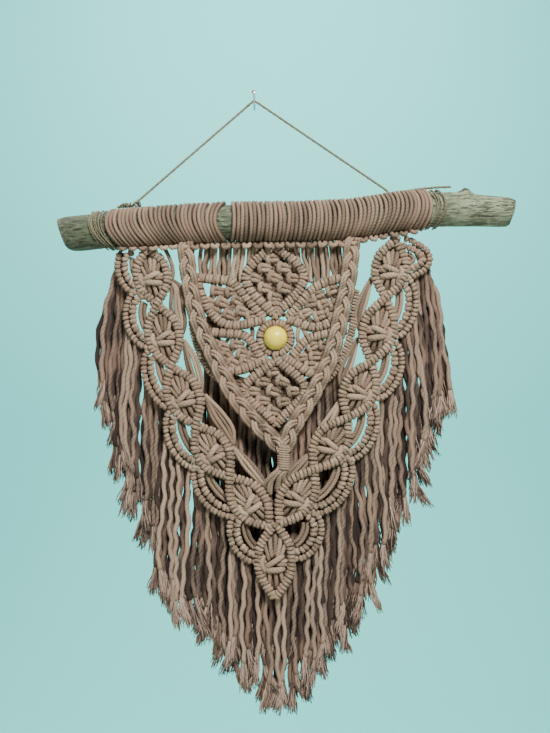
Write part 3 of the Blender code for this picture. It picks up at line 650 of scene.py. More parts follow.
KNOTS = [
    # right, up: the square knots that fill the petals, each about 16 mm wide
    (-1.5, -14.2), (-11, -24.6), (9.5, -24.4), (-20.5, -35.2), (-0.5, -35.2), (20, -35.8), (-10.5, -45.6),
    (10, -45.4), (0, -55.6), (1, -64.5),
    (-1, -133.4), (-12, -144), (9.5, -143.9), (-22.5, -154.2), (-1.5, -154.4), (20.5, -154.8),
    (-12, -164.7), (9.5, -164.9), (-1, -175.2),
    (-60, -48.3), (-45, -49), (-70.4, -60.9), (-53.6, -60.9), (-38.9, -58.8), (-63, -70), (-47.3, -73.6),
    (-33.6, -70.4), (-22.5, -74),
    (60.9, -47.3), (45, -52), (65.1, -61.9), (52.5, -62), (38.9, -61), (32.6, -72.5), (48.3, -74.6),
    (61, -70), (23, -75),
    (-64, -103), (-53, -107.2), (-39.9, -105), (-60, -115), (-50.4, -117.6), (-32.6, -114.5), (-43, -125),
    (-22.5, -118.5), (-30, -124.5),
    (39.9, -107), (54, -105), (29.4, -118.7), (44, -117), (57, -118), (38, -127.5), (51, -129),
]
KNOT_STEP = 10.5
RING_RADIUS = 16.6
BEAD_CENTRE = (1.5, -98.0, 23.0)
PANEL_EDGES = [
    [(-84, -50), (-86, -80), (-80, -108), (-66, -134), (-34, -156)],
    [(86, -47), (84, -78), (78, -104), (64, -132), (38, -156)],
]
BESIDE_RING = [
    # loops between the ring and the side petals: right, up, out
    [(27, -84, 20.5), (25.4, -90, 24.0), (24.6, -97, 24.0), (26.0, -103, 20.5)],
    [(30, -86, 19.5), (32, -91, 22.0), (34.5, -97, 19.5)],
    [(-24, -86, 18.0), (-22.6, -92, 19.0), (-23.5, -99, 18.0)],
]
BEHIND_PETALS = [
    # right, up: three cords each, their fronts painted dark as shade, where the petals' bars part beside
    # the braids
    [(-82, -76), (-66, -84), (-48, -89)],
    [(80, -74), (66, -84), (50, -90)],
    [(-62, -128), (-46, -140), (-30, -146)],
    [(64, -126), (50, -142), (34, -146)],
]
BACKED_PETALS = [
    # the petals backed by upright cords painted dark as shade: right and up of the middle, half width and
    # height
    (0.0, -38.5, 31.0, 35.0),
    (0.5, -154.5, 31.0, 34.0),
]
BACK_PITCH = 6.6
PAINTED_SHADE_TONE, BACK_TONE = -0.5, 0.5  # tones of the cords put behind gaps as painted shade: the front painted dark, the back plain
PANEL_CORDS = [
    # first top,   last top,   first foot,  last foot,  cords
    ((-76, 1), (-21, 1), (-78, -35), (-26, -38), 12),
    ((25, 1), (78, 3), (31, -38), (80, -34), 12),
    ((-20, 1), (-8, 0), (-27, -31), (-12, -12), 4),
    ((8, 0), (21, 1), (13, -14), (28, -32), 4),
]


def hitch_mesh(width, depth, pitch):
    """One loop of a hitch over a bar whose core runs along Z, its ends hidden behind."""
    radial, along = 0.5 * pitch + 0.3, 0.58 * pitch
    path = []
    for k in range(13):
        angle = math.radians(-168 + 28 * k)
        tuck = 0.8 if k in (0, 12) else 0.0
        across, forward = (math.copysign(abs(wave) ** 0.78, wave)
                           for wave in (math.sin(angle), math.cos(angle)))
        path.append(Vector(((width / 2 - radial - tuck) * across,
                            (depth / 2 - radial - tuck) * forward, 0)) * MM)
    # each loop is painted darker where it touches its neighbours: painted shade
    return as_mesh("hitch", cord_shape(path, radial, 6, 0.0, UP, along / radial, contact_shade=1.0))


def hitched_bar(piece, points, width=BAR_WIDTH, depth=BAR_DEPTH, pitch=LOOP_PITCH, pairs=0.05,
                slant=10.0, keep_clear=False):
    """A bar of hitches: loops side by side along a core cord. pairs draws every two loops
    together, slant tilts them, and keep_clear leaves out those that meet the turns."""
    length = sum((end - start).length for start, end in zip(points, points[1:])) / MM
    count = max(3, round(length / pitch))
    path = smooth_path(points, count)
    piece.add(cord_shape(path, min(width, depth) / 2 - 1.7, sides=6, tone=0.2))
    loop = hitch_mesh(width, depth, pitch)
    tones = loop.attributes["tone"].data
    contact_shades = [each.value for each in tones]
    for k in range(count):
        ahead = (path[k + 1] - path[k]).normalized()
        side = ahead.cross(FORWARD).normalized()
        out = side.cross(ahead)
        shift = 0.5 + (pairs if k % 2 else -pairs) + chance.uniform(-0.05, 0.05)
        middle = path[k].lerp(path[k + 1], shift)
        if keep_clear and not clear_of_turns(middle):
            continue
        size = 1 + chance.uniform(-0.05, 0.05)
        turn = Matrix((side, out, ahead)).transposed().to_4x4()
        tilt = Matrix.Rotation(math.radians(slant + chance.uniform(-4, 4)), 4, "Y")
        tilt = tilt @ Matrix.Rotation(math.radians(chance.uniform(-4, 4)), 4, "X")
        tone = chance.uniform(0.5, 1.0)
        # each loop's own random tone goes on top of its painted shade between loops
        for each, contact_shade in zip(tones, contact_shades):
            each.value = tone + contact_shade
        piece.add(loop, Matrix.Translation(middle) @ turn @ tilt @ Matrix.Diagonal((size, size, 1.0, 1.0)))
    bpy.data.meshes.remove(loop)


def add_bed(piece, points, radius):
    """The cords that cross behind a bar, seen from the front only as its edge. Their front is painted dark
    as shade, and the side to the wall keeps a plain tone.
    """
    points = [point for point in smooth_path(points, 24) if clear_of_turns(point, 5.0)]
    piece.add(cord_shape(points, radius, tone=-0.65, facing=-FORWARD, flat=0.45, back=0.4))


def clear_of_turns(point, gap=3.4):
    """Whether a loop at this point stays clear of the turns on the branch."""
    u = point.x / MM - WORK_X
    height = branch_at(u)[0]
    return math.hypot(point.z / MM - WORK_Z - height, -point.y / MM - BRANCH_OUT) > WRAP_RADIUS + gap


def square_knot(piece, u, w, out, turn, size=1.0):
    """A small square knot: one upright loop on the left, two level ones meeting it."""
    table = [
        # points of each loop: right, up, forward
        [(-3.4, 4.9, -1.6), (-4.6, 3.4, 2.6), (-5.0, 0.0, 3.8), (-4.6, -3.4, 2.6), (-3.4, -4.9, -1.6)],
        [(-3.4, 1.6, 0.0), (-1.6, 2.5, 2.2), (1.0, 2.5, 3.2), (4.0, 1.9, 2.2), (6.6, 0.9, -1.2)],
        [(-3.4, -1.6, 0.0), (-1.6, -2.3, 1.6), (1.0, -2.2, 2.6), (4.0, -1.9, 1.8), (6.4, -2.4, -1.2)],
    ]
    around = Matrix.Rotation(turn, 2)
    for loop in table:
        line = []
        for x, y, z in loop:
            place = around @ Vector((x, y)) * size
            line.append(at(u + place.x, w + place.y, out + z))
        piece.cord(line, 8, 2.5 * size, sides=8, tone=chance.uniform(0.25, 0.8))


flower = Gathered()
fill = Gathered()
for number, line in enumerate(PETAL_BARS):
    out = PANEL_OUT + (2.6 if number < 4 else 1.7) + 0.5 * (number % 2)
    hitched_bar(flower, [at(*point, out) for point in line], PETAL_WIDTH, PETAL_DEPTH,
                PETAL_PITCH, PAIRED, keep_clear=True)
    add_bed(flower, [at(*point, out - 3.2) for point in line], 5.6)
for u, w in KNOTS:
    turn = -0.08 if abs(u) < 24 else math.copysign(0.3, u)
    square_knot(fill, u + chance.uniform(-0.8, 0.8), w + chance.uniform(-0.6, 0.6), PANEL_OUT - 1.4,
                chance.uniform(-0.3, 0.3) + turn, chance.uniform(0.98, 1.08))
    for side in (-1, 1):
        for beside in (-1.4, 1.6):
            foot = u + side * KNOT_STEP * 0.8
            fill.cord([at(u + beside, w + 2, PANEL_OUT - 1.8),
                       at(u + beside + side * 2.5, w - 3.5, PANEL_OUT - 1.2),
                       at(foot + beside, w - KNOT_STEP, PANEL_OUT - 2.4)], 5, 2.1, sides=5, tone=0.1)
    for foot, bow, top in ((-2, -3.5, -6), (1, 2.5, 5)):
        fill.cord([at(u + foot, w + 1, PANEL_OUT - 2), at(u + bow, w + 5, PANEL_OUT - 1.6),
                   at(u + top, w + 9, PANEL_OUT - 2.6)], 4, 2.1, sides=5, tone=0.1)

ring = [at(BEAD_CENTRE[0] + RING_RADIUS * math.sin(math.tau * k / 32),
           BEAD_CENTRE[1] + RING_RADIUS * math.cos(math.tau * k / 32), PANEL_OUT + 0.6) for k in range(33)]
hitched_bar(flower, ring, RING_WIDTH, RING_DEPTH, RING_PITCH, PAIRED)
add_bed(flower, [point + Vector((0, 0.003, 0)) for point in ring], 4.6)
for line in PANEL_EDGES:
    hitched_bar(flower, [at(*point, PANEL_OUT - 0.8) for point in line], EDGE_WIDTH, EDGE_DEPTH)
for line in BESIDE_RING:
    fill.cord([at(*point) for point in line], 8, 2.5, sides=8)
# three cords behind each parting, their fronts painted dark as the shade seen through it
for line in BEHIND_PETALS:
    for k in (-1, 0, 1):
        fill.cord([at(u, w + 3.6 * k, PANEL_OUT - 3.4) for u, w in line], 10, 2.2,
                  tone=PAINTED_SHADE_TONE, back=BACK_TONE)
# upright cords behind the top and bottom petals, their fronts painted dark as the shade seen through the
# petals' gaps
for u, w, half_width, half_height in BACKED_PETALS:
    for k in range(-4, 5):
        side = u + BACK_PITCH * k
        reach = half_height * (1 - abs(BACK_PITCH * k) / half_width) ** 0.7
        fill.cord([at(side, w + reach, PANEL_OUT - 4.6),
                   at(side + chance.uniform(-0.4, 0.4), w, PANEL_OUT - 5.4),
                   at(side, w - reach, PANEL_OUT - 4.6)], 10, 3.6, tone=PAINTED_SHADE_TONE, back=BACK_TONE)
for first_top, last_top, first_foot, last_foot, cords in PANEL_CORDS:
    for k in range(cords):
        share = k / (cords - 1)
        top = Vector(first_top).lerp(Vector(last_top), share)
        foot = Vector(first_foot).lerp(Vector(last_foot), share)
        foot.y -= 5.5 * math.sin(math.pi * share) * (share if first_top[0] < 0 else 1 - share)
        foot.x += chance.uniform(-1.0, 1.0)
        out = PANEL_OUT + (0.9 if k % 2 else -1.4)
        sway = [Vector((chance.uniform(-1.4, 1.4), 0)) for _ in range(3)]
        line = [at(*top, 23.5), at(*(top.lerp(foot, 0.14) + sway[0] * 0.4), out + 1.5)]
        line += [at(*(top.lerp(foot, t) + each), out) for t, each in zip((0.38, 0.62, 0.84), sway)]
        fill.cord(line + [at(*foot, PANEL_OUT - 1.0)], 16, 2.25)
        # two cords in three have a partner behind, its front painted dark as shade
        if k % 3:
            behind = [at(point.x / MM - WORK_X + 2.1, point.z / MM - WORK_Z, -point.y / MM - 4.2)
                      for point in line]
            fill.cord(behind + [at(foot.x + 1, foot.y, PANEL_OUT - 4.0)], 10, 2.1,
                      tone=PAINTED_SHADE_TONE, back=BACK_TONE)
keep("flower_bars", flower.shape, cotton_cord, "cotton", "flower_panel")
keep("flower_knots", fill.shape, cotton_cord, "cotton", "flower_panel")


# ==== the bead ====
# A round wooden bead, 25 mm across, lacquered pale yellow. Two cords of the flower pass
# through its bore from top to bottom, and hold it in the middle of the ring.
BEAD_DIAMETER, BEAD_BORE = 25.0, 5.2
BEAD_PALE, BEAD_YELLOW = (0.97, 0.83, 0.11), (0.88, 0.67, 0.035)


def build_bead():
    u, w, out = BEAD_CENTRE
    radius, bore = BEAD_DIAMETER / 2, BEAD_BORE / 2
    limit = math.acos((bore + 0.5) / radius)
    rim = radius * math.sin(limit)
    outline = [(bore, -rim + 1.2), (bore + 0.12, -rim + 0.4)]
    outline += [(radius * math.cos(limit * (k / 12 - 1)), radius * math.sin(limit * (k / 12 - 1)))
                for k in range(25)]
    outline += [(bore + 0.12, rim - 0.4), (bore, rim - 1.2)]
    shape = bmesh.new()
    profile = [shape.verts.new(at(u + side, w + height, out)) for side, height in outline]
    edges = [shape.edges.new(pair) for pair in zip(profile, profile[1:] + profile[:1])]
    bmesh.ops.spin(shape, geom=profile + edges, cent=at(*BEAD_CENTRE), axis=(0, 0, 1),
                   angle=math.tau, steps=48, use_merge=True)
    bmesh.ops.remove_doubles(shape, verts=shape.verts, dist=1e-6)
    bmesh.ops.recalc_face_normals(shape, faces=shape.faces)
    return shape


lacquer = Finish("bead_lacquered_wood", Coat_Weight=0.5, Coat_Roughness=0.26, Specular_IOR_Level=0.4)
grain = lacquer.noise(1.0, 4, 0.6, stretch=(900, 900, 60))
cloudy = lacquer.noise(120.0, 2)
bead_colour = lacquer.mix(lacquer.band(grain * 0.7 + cloudy * 0.3, 0.35, 0.68), BEAD_YELLOW, BEAD_PALE)
bead_finish = lacquer.show(bead_colour, grain * 0.2 + 0.28, lacquer.raise_by(grain, 0.00012))
keep("bead_turned", build_bead(), bead_finish, "bead_wood", "bead")

threaded = Gathered()
u, w, out = BEAD_CENTRE
for side in (-1.1, 1.1):
    threaded.cord([at(u + side * 2.4, w + RING_RADIUS + 1, PANEL_OUT + 1), at(u + side, w + 12.6, out + 1),
                   at(u + side, w, out), at(u + side, w - 12.6, out + 1),
                   at(u + side * 2.4, w - RING_RADIUS - 1, PANEL_OUT + 1)], 22, 1.15)
keep("bead_cords", threaded.shape, cotton_cord, "cotton")


# ==== the braids, the gathering knot and its tassel ====
# Two flat plaits of three doubled cords hang in a V in front of the panel. They meet in a
# gathering knot of ten turns, and their ends go on below it and lie back behind the
# garland.
BRAID_OUT = 29.6
BRAIDS = [
    [(-93, 3), (-90, -26), (-87, -47), (-83, -68), (-76, -89), (-68, -107), (-60, -124),
     (-51, -142), (-42, -158), (-30, -174), (-17, -189), (-3, -202), (8, -216)],
    [(82, 7), (79, -26), (76, -47), (71, -68), (67, -89), (62, -107), (57, -123),
     (49, -140), (41, -156), (32, -171), (24, -185), (17, -197), (12, -217)],
]
BRAID_SWING, BRAID_RISE, BRAID_CYCLE = 6.0, 2.7, 56.0
BRAID_STEPS = 150
GATHER = [(10, -211), (10, -235)]
GATHER_TURNS = 10
GATHER_WIDTH, GATHER_DEPTH = 11.8, 9.8

braids = Gathered()
for line in BRAIDS:
    length = sum((Vector(b) - Vector(a)).length for a, b in zip(line, line[1:]))
    middle = smooth_path([at(u, w, BRAID_OUT) for u, w in line], BRAID_STEPS)
    for strand in range(3):
        spots = []
        for k, point in enumerate(middle):
            side = way_along(middle, k).normalized().cross(FORWARD).normalized()
            phase = math.tau * (length * k / BRAID_STEPS / BRAID_CYCLE + strand / 3)
            swing = BRAID_SWING * (math.sin(phase) + 0.15 * math.sin(3 * phase))
            swing *= min(1.0, (BRAID_STEPS - k) / 12 + 0.4)
            rise = BRAID_RISE * math.sin(2 * phase)
            spots.append(point + side * (swing * MM) + FORWARD * (rise * MM))
        for half in (-1, 1):
            pair = []
            for k, point in enumerate(spots):
                beside = way_along(spots, k).normalized().cross(FORWARD).normalized()
                pair.append(point + beside * (half * 1.5 * MM))
            # the plaited cords are painted darker where they press together: painted shade
            braids.add(cord_shape(pair, 2.4, 8, chance.uniform(0.65, 1.0), RIGHT, contact_shade=PRESSED_SHADE))
round_knot = [Vector((GATHER_WIDTH / 2 * math.sin(angle), GATHER_DEPTH / 2 * math.cos(angle), 0)) * MM
              for angle in (math.tau * k / 20 for k in range(21))]
# the gathering knot's turns are painted darker where they meet: painted shade
knot_turn = as_mesh("turn", cord_shape(round_knot, 1.45, 8, 0.8, UP, contact_shade=0.9))
for k in range(GATHER_TURNS):
    u, w = Vector(GATHER[0]).lerp(Vector(GATHER[1]), (k + 0.3) / (GATHER_TURNS - 0.4))
    swell = 1.02 - 0.012 * k + 0.02 * math.sin(1.9 * k)
    tilt = Matrix.Rotation(math.radians(6 + chance.uniform(-2, 2)), 4, "Y")
    braids.add(knot_turn, Matrix.Translation(at(u, w, BRAID_OUT - 0.6)) @ tilt
               @ Matrix.Diagonal((swell, swell, 0.98, 1.0)))
bpy.data.meshes.remove(knot_turn)
braids.cord([at(10, -208, BRAID_OUT), at(10, -230, BRAID_OUT - 0.6)], 6, 4.0, tone=0.1)
for k in range(6):
    foot = -9.5 + 3.9 * k + 1.2 * math.sin(2.6 * k)
    braids.cord([at(6 + 1.6 * k, -227, BRAID_OUT - 0.4), at(4.6 + 1.9 * k, -235, 30.4 - 1.4 * (k % 2)),
                 at(foot * 0.65 + 3.5, -242, 27.8 - k % 2), at(foot, -251, 21.5),
                 at(foot - 1.5, -259 - 3 * (k % 3), 16.2)], 12, 2.3, tone=chance.uniform(0.5, 1.0))
keep("braids_and_knot", braids.shape, cotton_cord, "cotton", "braids")


# ==== the garland ====
# A chain of leaves down each side meets in one last leaf at the point. Two long bars of
# hitches swing apart and cross between the leaves. In each leaf a square knot draws in
# twelve plain cords, double arcs of bars edge the garland, and loose cords lie beside it.
GARLAND_OUT = 24.0
LEFT_CROSSINGS = [(-133, -3), (-123, -63), (-108, -128), (-82, -190), (-47, -244), (-5, -296)]
RIGHT_CROSSINGS = [(127, 5), (117, -56), (102, -123), (77, -182), (42, -236), (6, -293)]
LEAF_BOW = 17.0
POINT_LEAF = [(1, -292), (1, -371)]
POINT_BOW = 18.6
GARLAND_PITCH = 4.3
FRINGE_FRONT, FRINGE_MIDDLE, FRINGE_BACK = 16.4, 11.0, 5.4
ARCS = [
    # name,            start,         end,          bow, layer,       strands, first tip, last tip
    ("fringe_left_1", (-158, -9), (-149, -46), 7, FRINGE_MIDDLE, 12, (-187, -176), (-157, -236)),
    ("fringe_left_2", (-147, -55), (-137, -103), 10, FRINGE_FRONT, 10, (-166, -240), (-145, -282)),
    ("fringe_left_3", (-132, -118), (-113, -167), 8, FRINGE_MIDDLE, 11, (-141, -292), (-117, -362)),
    ("fringe_left_4", (-109, -181), (-87, -230), 9, FRINGE_FRONT, 11, (-121, -366), (-92, -405)),
    ("fringe_left_5", (-81, -238), (-45, -282), 11, FRINGE_MIDDLE, 13, (-88, -398), (-53, -438)),
    ("fringe_left_6", (-41, -289), (-24, -329), 9, FRINGE_FRONT, 10, (-51, -440), (-27, -461)),
    ("fringe_right_1", (145, 0), (144, -30), 16, FRINGE_MIDDLE, 12, (187, -172), (158, -213)),
    ("fringe_right_2", (141, -41), (131, -92), 9, FRINGE_FRONT, 10, (163, -222), (143, -272)),
    ("fringe_right_3", (128, -109), (112, -157), 9, FRINGE_MIDDLE, 11, (137, -286), (115, -330)),
    ("fringe_right_4", (103, -172), (82, -222), 10, FRINGE_FRONT, 11, (117, -336), (90, -392)),
    ("fringe_right_5", (78, -231), (46, -279), 11, FRINGE_MIDDLE, 13, (86, -398), (52, -440)),
    ("fringe_right_6", (44, -288), (27, -326), 9, FRINGE_FRONT, 10, (50, -450), (28, -474)),
]
HEART = [
    # points along the leaf and across it, and forward in millimetres; radius
    ([(0.545, -0.50, -0.6), (0.53, -0.36, 3.2), (0.505, -0.04, 5.6), (0.485, 0.22, 4.6),
      (0.485, 0.42, 0.0)], 3.0),
    ([(0.575, -0.50, -0.6), (0.595, -0.34, 3.2), (0.62, -0.02, 5.4), (0.64, 0.26, 4.4),
      (0.655, 0.46, -0.2)], 3.2),
    ([(0.45, -0.60, -1.0), (0.48, -0.72, 2.0), (0.55, -0.74, 3.2), (0.61, -0.64, 2.4),
      (0.655, -0.50, -0.6)], 2.7),
    ([(0.55, 0.10, 1.6), (0.555, 0.30, 2.4), (0.56, 0.54, 1.4), (0.57, 0.78, -3.0)], 2.2),
    ([(0.52, 0.26, 0.6), (0.515, 0.46, 1.2), (0.505, 0.66, 0.0), (0.49, 0.86, -3.5)], 2.1),
    ([(0.42, -0.90, -4.2), (0.45, -0.78, -0.4), (0.50, -0.62, 1.0), (0.54, -0.50, 0.6)], 2.0),
    ([(0.24, -0.62, -4.2), (0.32, -0.55, -0.2), (0.40, -0.44, 2.0), (0.50, -0.34, 1.4)], 2.15),
    ([(0.13, -0.32, -4.0), (0.23, -0.29, 0.4), (0.34, -0.25, 2.4), (0.46, -0.18, 1.8)], 2.3),
    ([(0.12, 0.04, -4.4), (0.22, 0.03, -0.6), (0.33, 0.01, 0.8), (0.44, -0.02, 0.4)], 2.2),
    ([(0.14, 0.34, -4.0), (0.24, 0.30, 0.4), (0.35, 0.22, 2.2), (0.45, 0.10, 1.8)], 2.3),
    ([(0.24, 0.62, -4.2), (0.31, 0.54, -0.2), (0.39, 0.42, 1.4), (0.46, 0.28, 0.8)], 2.15),
    ([(0.60, -0.48, 0.4), (0.65, -0.54, 1.0), (0.71, -0.57, -0.4), (0.79, -0.58, -4.2)], 2.0),
    ([(0.60, -0.25, 1.4), (0.69, -0.29, 1.9), (0.78, -0.31, 0.2), (0.87, -0.32, -4.2)], 2.3),
    ([(0.62, 0.02, 1.6), (0.70, 0.05, 2.1), (0.79, 0.07, 0.4), (0.89, 0.08, -4.2)], 2.3),
    ([(0.64, 0.28, 1.2), (0.70, 0.35, 1.6), (0.77, 0.42, 0.0), (0.83, 0.46, -4.2)], 2.15),
]
ARC_BARS = [
    # the two bars of each arc: moved outwards, forward, width, pitch
    (-4.2, 0.0, 8.4, 4.9),
    (3.6, -0.8, 7.2, 4.4),
]
ARC_BAR_DEPTH = 7.6
ARC_CORDS = [
    # the plain cords inside each arc: moved outwards, forward
    (-9.5, -3.0),
    (-14.0, -3.8),
    (-11.5, -6.0),
]
# across each leaf, where cords lie behind its heart, painted dark as shade
BACK_OF_HEART = (-0.72, -0.44, -0.16, 0.14, 0.42, 0.70)
LOOSE_CORDS = [
    # side the cords spread to, their line, how many
    (-1, [(-116, -2), (-110, -14), (-107, -26), (-107, -36), (-114, -46)], 1),
    (-1, [(-113, -34), (-103, -46), (-102, -66), (-98, -84), (-101, -104)], 4),
    (-1, [(-95, -100), (-87, -121), (-81, -142), (-77, -158)], 4),
    (-1, [(-73, -158), (-60, -178), (-48, -196), (-43, -212)], 4),
    (-1, [(-44, -212), (-30, -228), (-18, -243), (-8, -256)], 3),
    (1, [(103, -34), (94, -56), (90, -74), (91, -92)], 3),
    (1, [(88, -98), (79, -122), (72, -140), (73, -156)], 3),
    (1, [(72, -160), (60, -184), (47, -202), (43, -216)], 3),
    (1, [(42, -216), (30, -230), (18, -243), (9, -256)], 3),
]


def long_bar(crossings, sign, bow, out):
    """A bar that swings from side to side, crossing its partner between two leaves."""
    points = []
    for leaf, (top, foot) in enumerate(zip(crossings, crossings[1:])):
        start, axis = Vector(top), Vector(foot) - Vector(top)
        side = Vector((-axis.y, axis.x)).normalized() * (-bow * sign * (-1) ** leaf)
        for t in (0.0, 0.18, 0.36, 0.64, 0.82):
            place = start + axis * t + side * math.sin(math.pi * t)
            over = 1.2 * sign * math.cos(math.pi * (leaf + t))
            points.append(at(place.x, place.y, out + over))
    last = Vector(crossings[-1])
    points.append(at(last.x, last.y, out))
    return points


def arc_points(start, end, bow, share=1.0, tuck=9.0):
    """The line of an outer arc, both ends turned in to the leaves' bars."""
    start, end = Vector(start), Vector(end)
    axis = (end - start).normalized()
    sign = 1 if (start.x + end.x) > 0 else -1
    outward = Vector((-axis.y, axis.x)) * sign
    middle = (start + end) / 2
    quarter = (end - start) / 4
    return [start - outward * tuck - axis * 3, start + outward * 0.5,
            middle - quarter + outward * (bow * 0.8 * share), middle + outward * (bow * share),
            middle + quarter + outward * (bow * 0.8 * share), end + outward * 0.5,
            end - outward * tuck + axis * 4]


def shifted(points, side, by):
    """The line of a bar moved sideways by some millimetres."""
    moved = []
    for k, point in enumerate(points):
        ahead = way_along(points, k)
        moved.append(point + Vector((-ahead.y, ahead.x)).normalized() * side * by)
    return moved


def leaf_heart(piece, top, foot, bow, mirrored, tilt):
    """The square knot in a leaf, with the cords that fan in to it and out again."""
    start, axis = Vector(top), Vector(foot) - Vector(top)
    side = Vector((-axis.y, axis.x)).normalized() * bow
    for number, (line, radius) in enumerate(HEART):
        points = []
        for t, across, forward in line:
            across *= -1 if mirrored else 1
            if number < 2:
                t -= tilt * across
            place = start + axis * t + side * across
            points.append(at(place.x, place.y, GARLAND_OUT + forward))
        tone = chance.uniform(0.6, 1.0) if number < 3 else chance.uniform(0.1, 0.8)
        piece.cord(points, 9, radius, sides=8, tone=tone)
    # cords behind each heart: their fronts painted dark as the shade seen through its gaps, their backs
    # plain
    for across in BACK_OF_HEART:
        inset = 0.08 + 0.2 * abs(across)
        line = [(inset, 0.6 * across), (0.3, 0.9 * across), (0.5, across), (0.7, 0.9 * across),
                (1 - inset, 0.6 * across)]
        spots = [start + axis * t + side * along for t, along in line]
        piece.cord([at(spot.x, spot.y, GARLAND_OUT - 3.4) for spot in spots], 7, 2.6, tone=-0.45, back=0.5)


bars, hearts, arcs = Gathered(), Gathered(), Gathered()
for crossings, mirrored in ((LEFT_CROSSINGS, False), (RIGHT_CROSSINGS, True)):
    for sign in (1, -1):
        head = Vector(crossings[0])
        points = [at(head.x + 2.5 * sign, head.y + 9, GARLAND_OUT + 1.2 * sign)]
        points += long_bar(crossings, sign, LEAF_BOW, GARLAND_OUT + 0.9)
        hitched_bar(bars, points, pitch=GARLAND_PITCH, keep_clear=True)
    for leaf, (top, foot) in enumerate(zip(crossings, crossings[1:])):
        leaf_heart(hearts, top, foot, LEAF_BOW, mirrored, 0.01 + 0.01 * leaf)
for sign in (1, -1):
    hitched_bar(bars, long_bar(POINT_LEAF, sign, POINT_BOW, GARLAND_OUT + 0.9), pitch=GARLAND_PITCH)
leaf_heart(hearts, *POINT_LEAF, POINT_BOW, False, 0.09)
for _, start, end, bow, *_ in ARCS:
    line = arc_points(start, end, bow)
    outward = 1 if line[3].x > 0 else -1
    turn = 1 if (Vector(end) - Vector(start)).y < 0 else -1
    for by, out, width, pitch in ARC_BARS:
        beside = [at(*point, GARLAND_OUT + out) for point in shifted(line, outward * turn, by)]
        hitched_bar(arcs, beside, width, ARC_BAR_DEPTH, pitch, 0.07, slant=-8.0, keep_clear=True)
    inner = arc_points(start, end, bow, 0.75, 6.0)
    for by, out in ARC_CORDS:
        beside = shifted(inner, outward * turn, by)
        # cords further back are painted darker: painted shade by depth, over a random tone of their own
        hearts.cord([at(*point, GARLAND_OUT + out) for point in beside[1:-1]], 14, 2.15,
                    tone=chance.uniform(0.2, 0.8) + (out + 3) / 4)
for side, line, count in LOOSE_CORDS:
    for k in range(count):
        line = [Vector(point) for point in line]
        by = 4.3 * (k - (count - 1) / 2)
        out = GARLAND_OUT - 0.6 - 1.3 * ((k + 1) % 2) + chance.uniform(-0.4, 0.4)
        points = [at(*line[0], 18.5)]
        for number in range(1, len(line) - 1):
            share = math.sin(math.pi * number / (len(line) - 1))
            point = shifted(line, 1, by * share + chance.uniform(-0.6, 0.6))[number]
            points.append(at(*point, out))
        hearts.cord(points + [at(*line[-1], 18.0)], 16, 2.15)
keep("garland_bars", bars.shape, cotton_cord, "cotton", "garland")
keep("garland_hearts", hearts.shape, cotton_cord, "cotton", "garland")
keep("garland_arcs", arcs.shape, cotton_cord, "cotton", "garland")


# ==== the fringe ====
# The cords' ends hang free from the arcs, the point and the panel's lower edge. Each one
# is crimped where it has been knotted and untied, and its last 30 mm or so are combed out
# into single yarns. The further back a strand hangs the darker it is painted, as shade,
# and a row painted darkest of all hangs behind the strands of each arc and of the panel.
STRAND = 5.5
TUFT = 34.0
POINT_FRINGE = ("fringe_point", [(-19, -336), (1, -366), (21, -336)], 14, (-19, -464), (20, -480))
PANEL_FRINGE = [(-72, -126), (-34, -160), (3, -190), (40, -160), (70, -126)]
PANEL_STRANDS = 44
FRINGE_DARK, FRINGE_PALE = (0.065, 0.043, 0.033), (0.46, 0.335, 0.235)
FRINGE_LAY, FRINGE_RELIEF = 0.017, 0.35
YARN_SIZES = [1.05, 1.0, 0.95, 0.85, 0.8, 0.7, 0.55, 0.3]
YARNS, FEW_YARNS = 28, 7          # in a tuft, and in one of the row behind
ROOTS_OUT, PANEL_ROOTS_OUT = GARLAND_OUT - 3.4, PANEL_OUT - 6.0
# how far in front of its layer each strand hangs, by turns, and the row behind
ARC_DEPTHS, ARC_BEHIND = (-2.3, 1.9, -0.4), -3.9
POINT_DEPTHS = (-3.0, 2.4, 0.0)
PANEL_DEPTHS, PANEL_BEHIND = (1.2, -1.0, 3.0), -1.8
fringe_cotton = cotton("fringe_cotton", FRINGE_DARK, FRINGE_PALE, FRINGE_LAY, FRINGE_RELIEF)


def strand_path(root, tip, layer, depth, root_out):
    """A hanging strand: it leaves its root outwards, soon hangs straight, and is crimped."""
    points = []
    drop = root.y - tip.y
    sway, kink = chance.uniform(0.9, 2.6), chance.uniform(0.7, 1.5)
    phase, bend, beat = chance.random() * 6, chance.uniform(0.03, 0.07), chance.uniform(0.18, 0.3)
    count = max(8, round(drop / 7))
    for k in range(count + 1):
        t = k / count
        lean = 1 - (1 - t) ** 2.4
        fallen = drop * t
        loose = min(1.0, t * 4)
        wave = sway * math.sin(phase + bend * fallen) + kink * math.sin(2 * phase + beat * fallen)
        nod = 0.9 * math.sin(phase * 1.7 + 0.09 * fallen)
        sink = min(1.0, fallen / 26)
        out = root_out + (layer + depth - root_out) * sink + nod * loose
        points.append(at(root.x + (tip.x - root.x) * lean + wave * loose, root.y - fallen, out))
    return points


def off_the_wall(path, radius):
    """The same line, held in front of the wall's plane."""
    return [Vector((point.x, min(point.y, -radius * MM), point.z)) for point in path]


